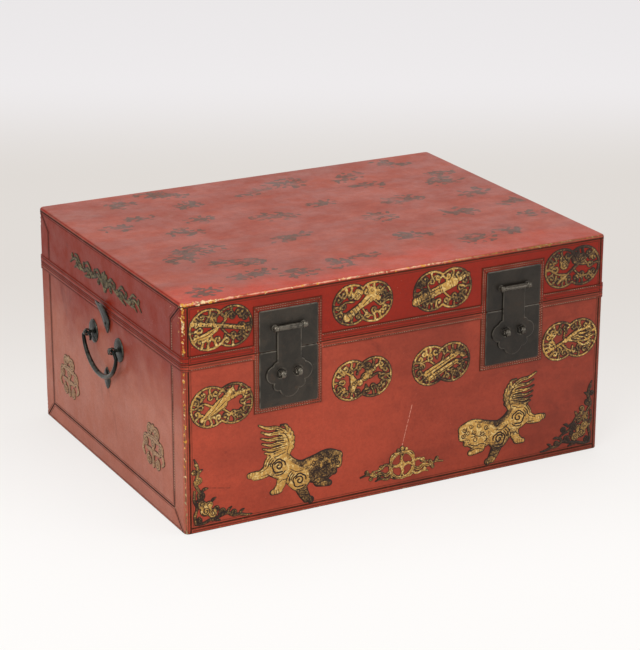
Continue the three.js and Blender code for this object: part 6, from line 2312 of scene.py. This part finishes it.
@dataclass
class Studio:
    """The floor, the lamps and the camera."""

    camera_place: tuple[float, float, float] = (-1.5237, -2.8819, 1.3254)
    camera_way: tuple[float, float, float] = (0.44153, 0.83229, -0.33517)
    camera_roll: float = 0.09
    lens: float = 131.0
    sensor: float = 36.0
    far_clip: float = 100.0
    floor_half: float = 40000.0
    floor_depth: float = -0.3
    floor_near: Colour = tint(252, 250, 248)
    floor_middle: Colour = tint(226, 221, 216)
    floor_far: Colour = tint(243, 240, 241)
    glow: float = 0.8
    lamp_target: tuple[float, float, float] = (0.0, 0.0, 0.15)
    lamps: tuple[tuple[str, tuple[float, float, float], float, float], ...] = (
        ("key", (-2.5, -2.1, 2.3), 1.6, 56.0), ("overhead", (0.2, 0.4, 2.8), 2.4, 38.0),
        ("fill", (2.2, -2.6, 1.4), 2.0, 24.0),
    )
    world_strength: float = 0.45
    world_seen: float = 0.86

    def build(self) -> None:
        """Makes everything around the object."""
        self.camera()
        self.floor()
        for name, place, size, power in self.lamps:
            self.lamp(name, place, size, power)
        self.world()

    def camera(self) -> None:
        """A camera where the photograph's stood: right is forward x up, and up is right x forward."""
        forward = Vector(self.camera_way).normalized()
        right = forward.cross(Vector((0, 0, 1))).normalized()
        up = right.cross(forward)
        roll = math.radians(self.camera_roll)
        turned_right = right * math.cos(roll) + up * math.sin(roll)
        turned_up = up * math.cos(roll) - right * math.sin(roll)
        data = bpy.data.cameras.new("camera")
        data.lens, data.sensor_width, data.sensor_fit = self.lens, self.sensor, "AUTO"
        data.clip_end = self.far_clip
        camera = bpy.data.objects.new("camera", data)
        rows = [(turned_right[k], turned_up[k], -forward[k], self.camera_place[k]) for k in range(3)]
        camera.matrix_world = Matrix([*rows, (0.0, 0.0, 0.0, 1.0)])
        bpy.context.scene.collection.objects.link(camera)
        bpy.context.scene.camera = camera

    def floor(self) -> None:
        """A wide pale floor that fades a little with distance and keeps the object's shadow."""
        shader = Shader("studio floor")
        corners = [(x * self.floor_half, y * self.floor_half, self.floor_depth)
                   for x, y in ((-1, -1), (1, -1), (1, 1), (-1, 1))]
        floor = Shape(np.array(corners), [np.array([[0, 1, 2, 3]])]).build("studio_floor", shader.material)
        way = shader.vector("DOT_PRODUCT", shader.place, (0.4686, 0.8834, 0.0), "Value")
        colour = shader.mix(shader.level(way, -0.55, 0.8), self.floor_near, self.floor_middle)
        colour = shader.mix(shader.level(way, 1.3, 2.2), colour, self.floor_far)
        shader.set(Base_Color=colour, Roughness=0.9, Specular_IOR_Level=0.0)
        glow = shader.fed("ShaderNodeEmission", {"Color": colour})
        seen = shader.fed("ShaderNodeLightPath", {}, "Is Camera Ray") * self.glow
        own = Value(shader, shader.surface.outputs[0])
        shader.put(shader.output.inputs[0], shader.fed("ShaderNodeMixShader", {0: seen, 1: own, 2: glow}))

    def lamp(self, name: str, place: Sequence[float], size: float, power: float) -> None:
        """A square soft lamp that points at the chest."""
        data = bpy.data.lights.new(name, "AREA")
        data.shape, data.size, data.energy = "SQUARE", size, power
        lamp = bpy.data.objects.new(name, data)
        away = Vector(place) - Vector(self.lamp_target)
        lamp.rotation_mode = "QUATERNION"
        lamp.rotation_quaternion = away.to_track_quat("Z", "Y")
        lamp.location = place
        bpy.context.scene.collection.objects.link(lamp)

    def world(self) -> None:
        """An even pale surrounding, brighter where the camera or a mirrored ray sees it."""
        world = bpy.data.worlds.new("studio")
        world.use_nodes = True
        bpy.context.scene.world = world
        nodes, links = world.node_tree.nodes, world.node_tree.links
        nodes.clear()
        path = nodes.new("ShaderNodeLightPath")
        bright = nodes.new("ShaderNodeMath")
        bright.operation = "MAXIMUM"
        strength = nodes.new("ShaderNodeMapRange")
        light = nodes.new("ShaderNodeBackground")
        output = nodes.new("ShaderNodeOutputWorld")
        strength.inputs["To Min"].default_value = self.world_strength
        strength.inputs["To Max"].default_value = self.world_seen
        light.inputs["Color"].default_value = (1.0, 1.0, 1.0, 1.0)
        for start, stop in (
            (path.outputs["Is Camera Ray"], bright.inputs[0]),
            (path.outputs["Is Glossy Ray"], bright.inputs[1]),
            (bright.outputs[0], strength.inputs["Value"]), (strength.outputs[0], light.inputs["Strength"]),
            (light.outputs[0], output.inputs[0]),
        ):
            links.new(start, stop)


def main() -> None:
    """Builds the studio and every sub-assembly."""
    logging.basicConfig(level=logging.INFO, format="%(message)s")
    bpy.context.scene.view_settings.view_transform = "Standard"
    finishes = Finishes()
    Studio().build()
    Carcass(finishes).build()
    LeatherSkin(finishes).build()
    Ornaments(finishes).build()
    for side, sign in (("left", -1), ("right", 1)):
        LockSet(side, sign * LOCK_X, finishes).build()
        Handle(side, Wall.LEFT if sign < 0 else Wall.RIGHT, finishes).build()
        Hinge(side, -sign * HINGE_X, finishes).build()
    bpy.context.view_layer.update()


if __name__ == "__main__":
    main()
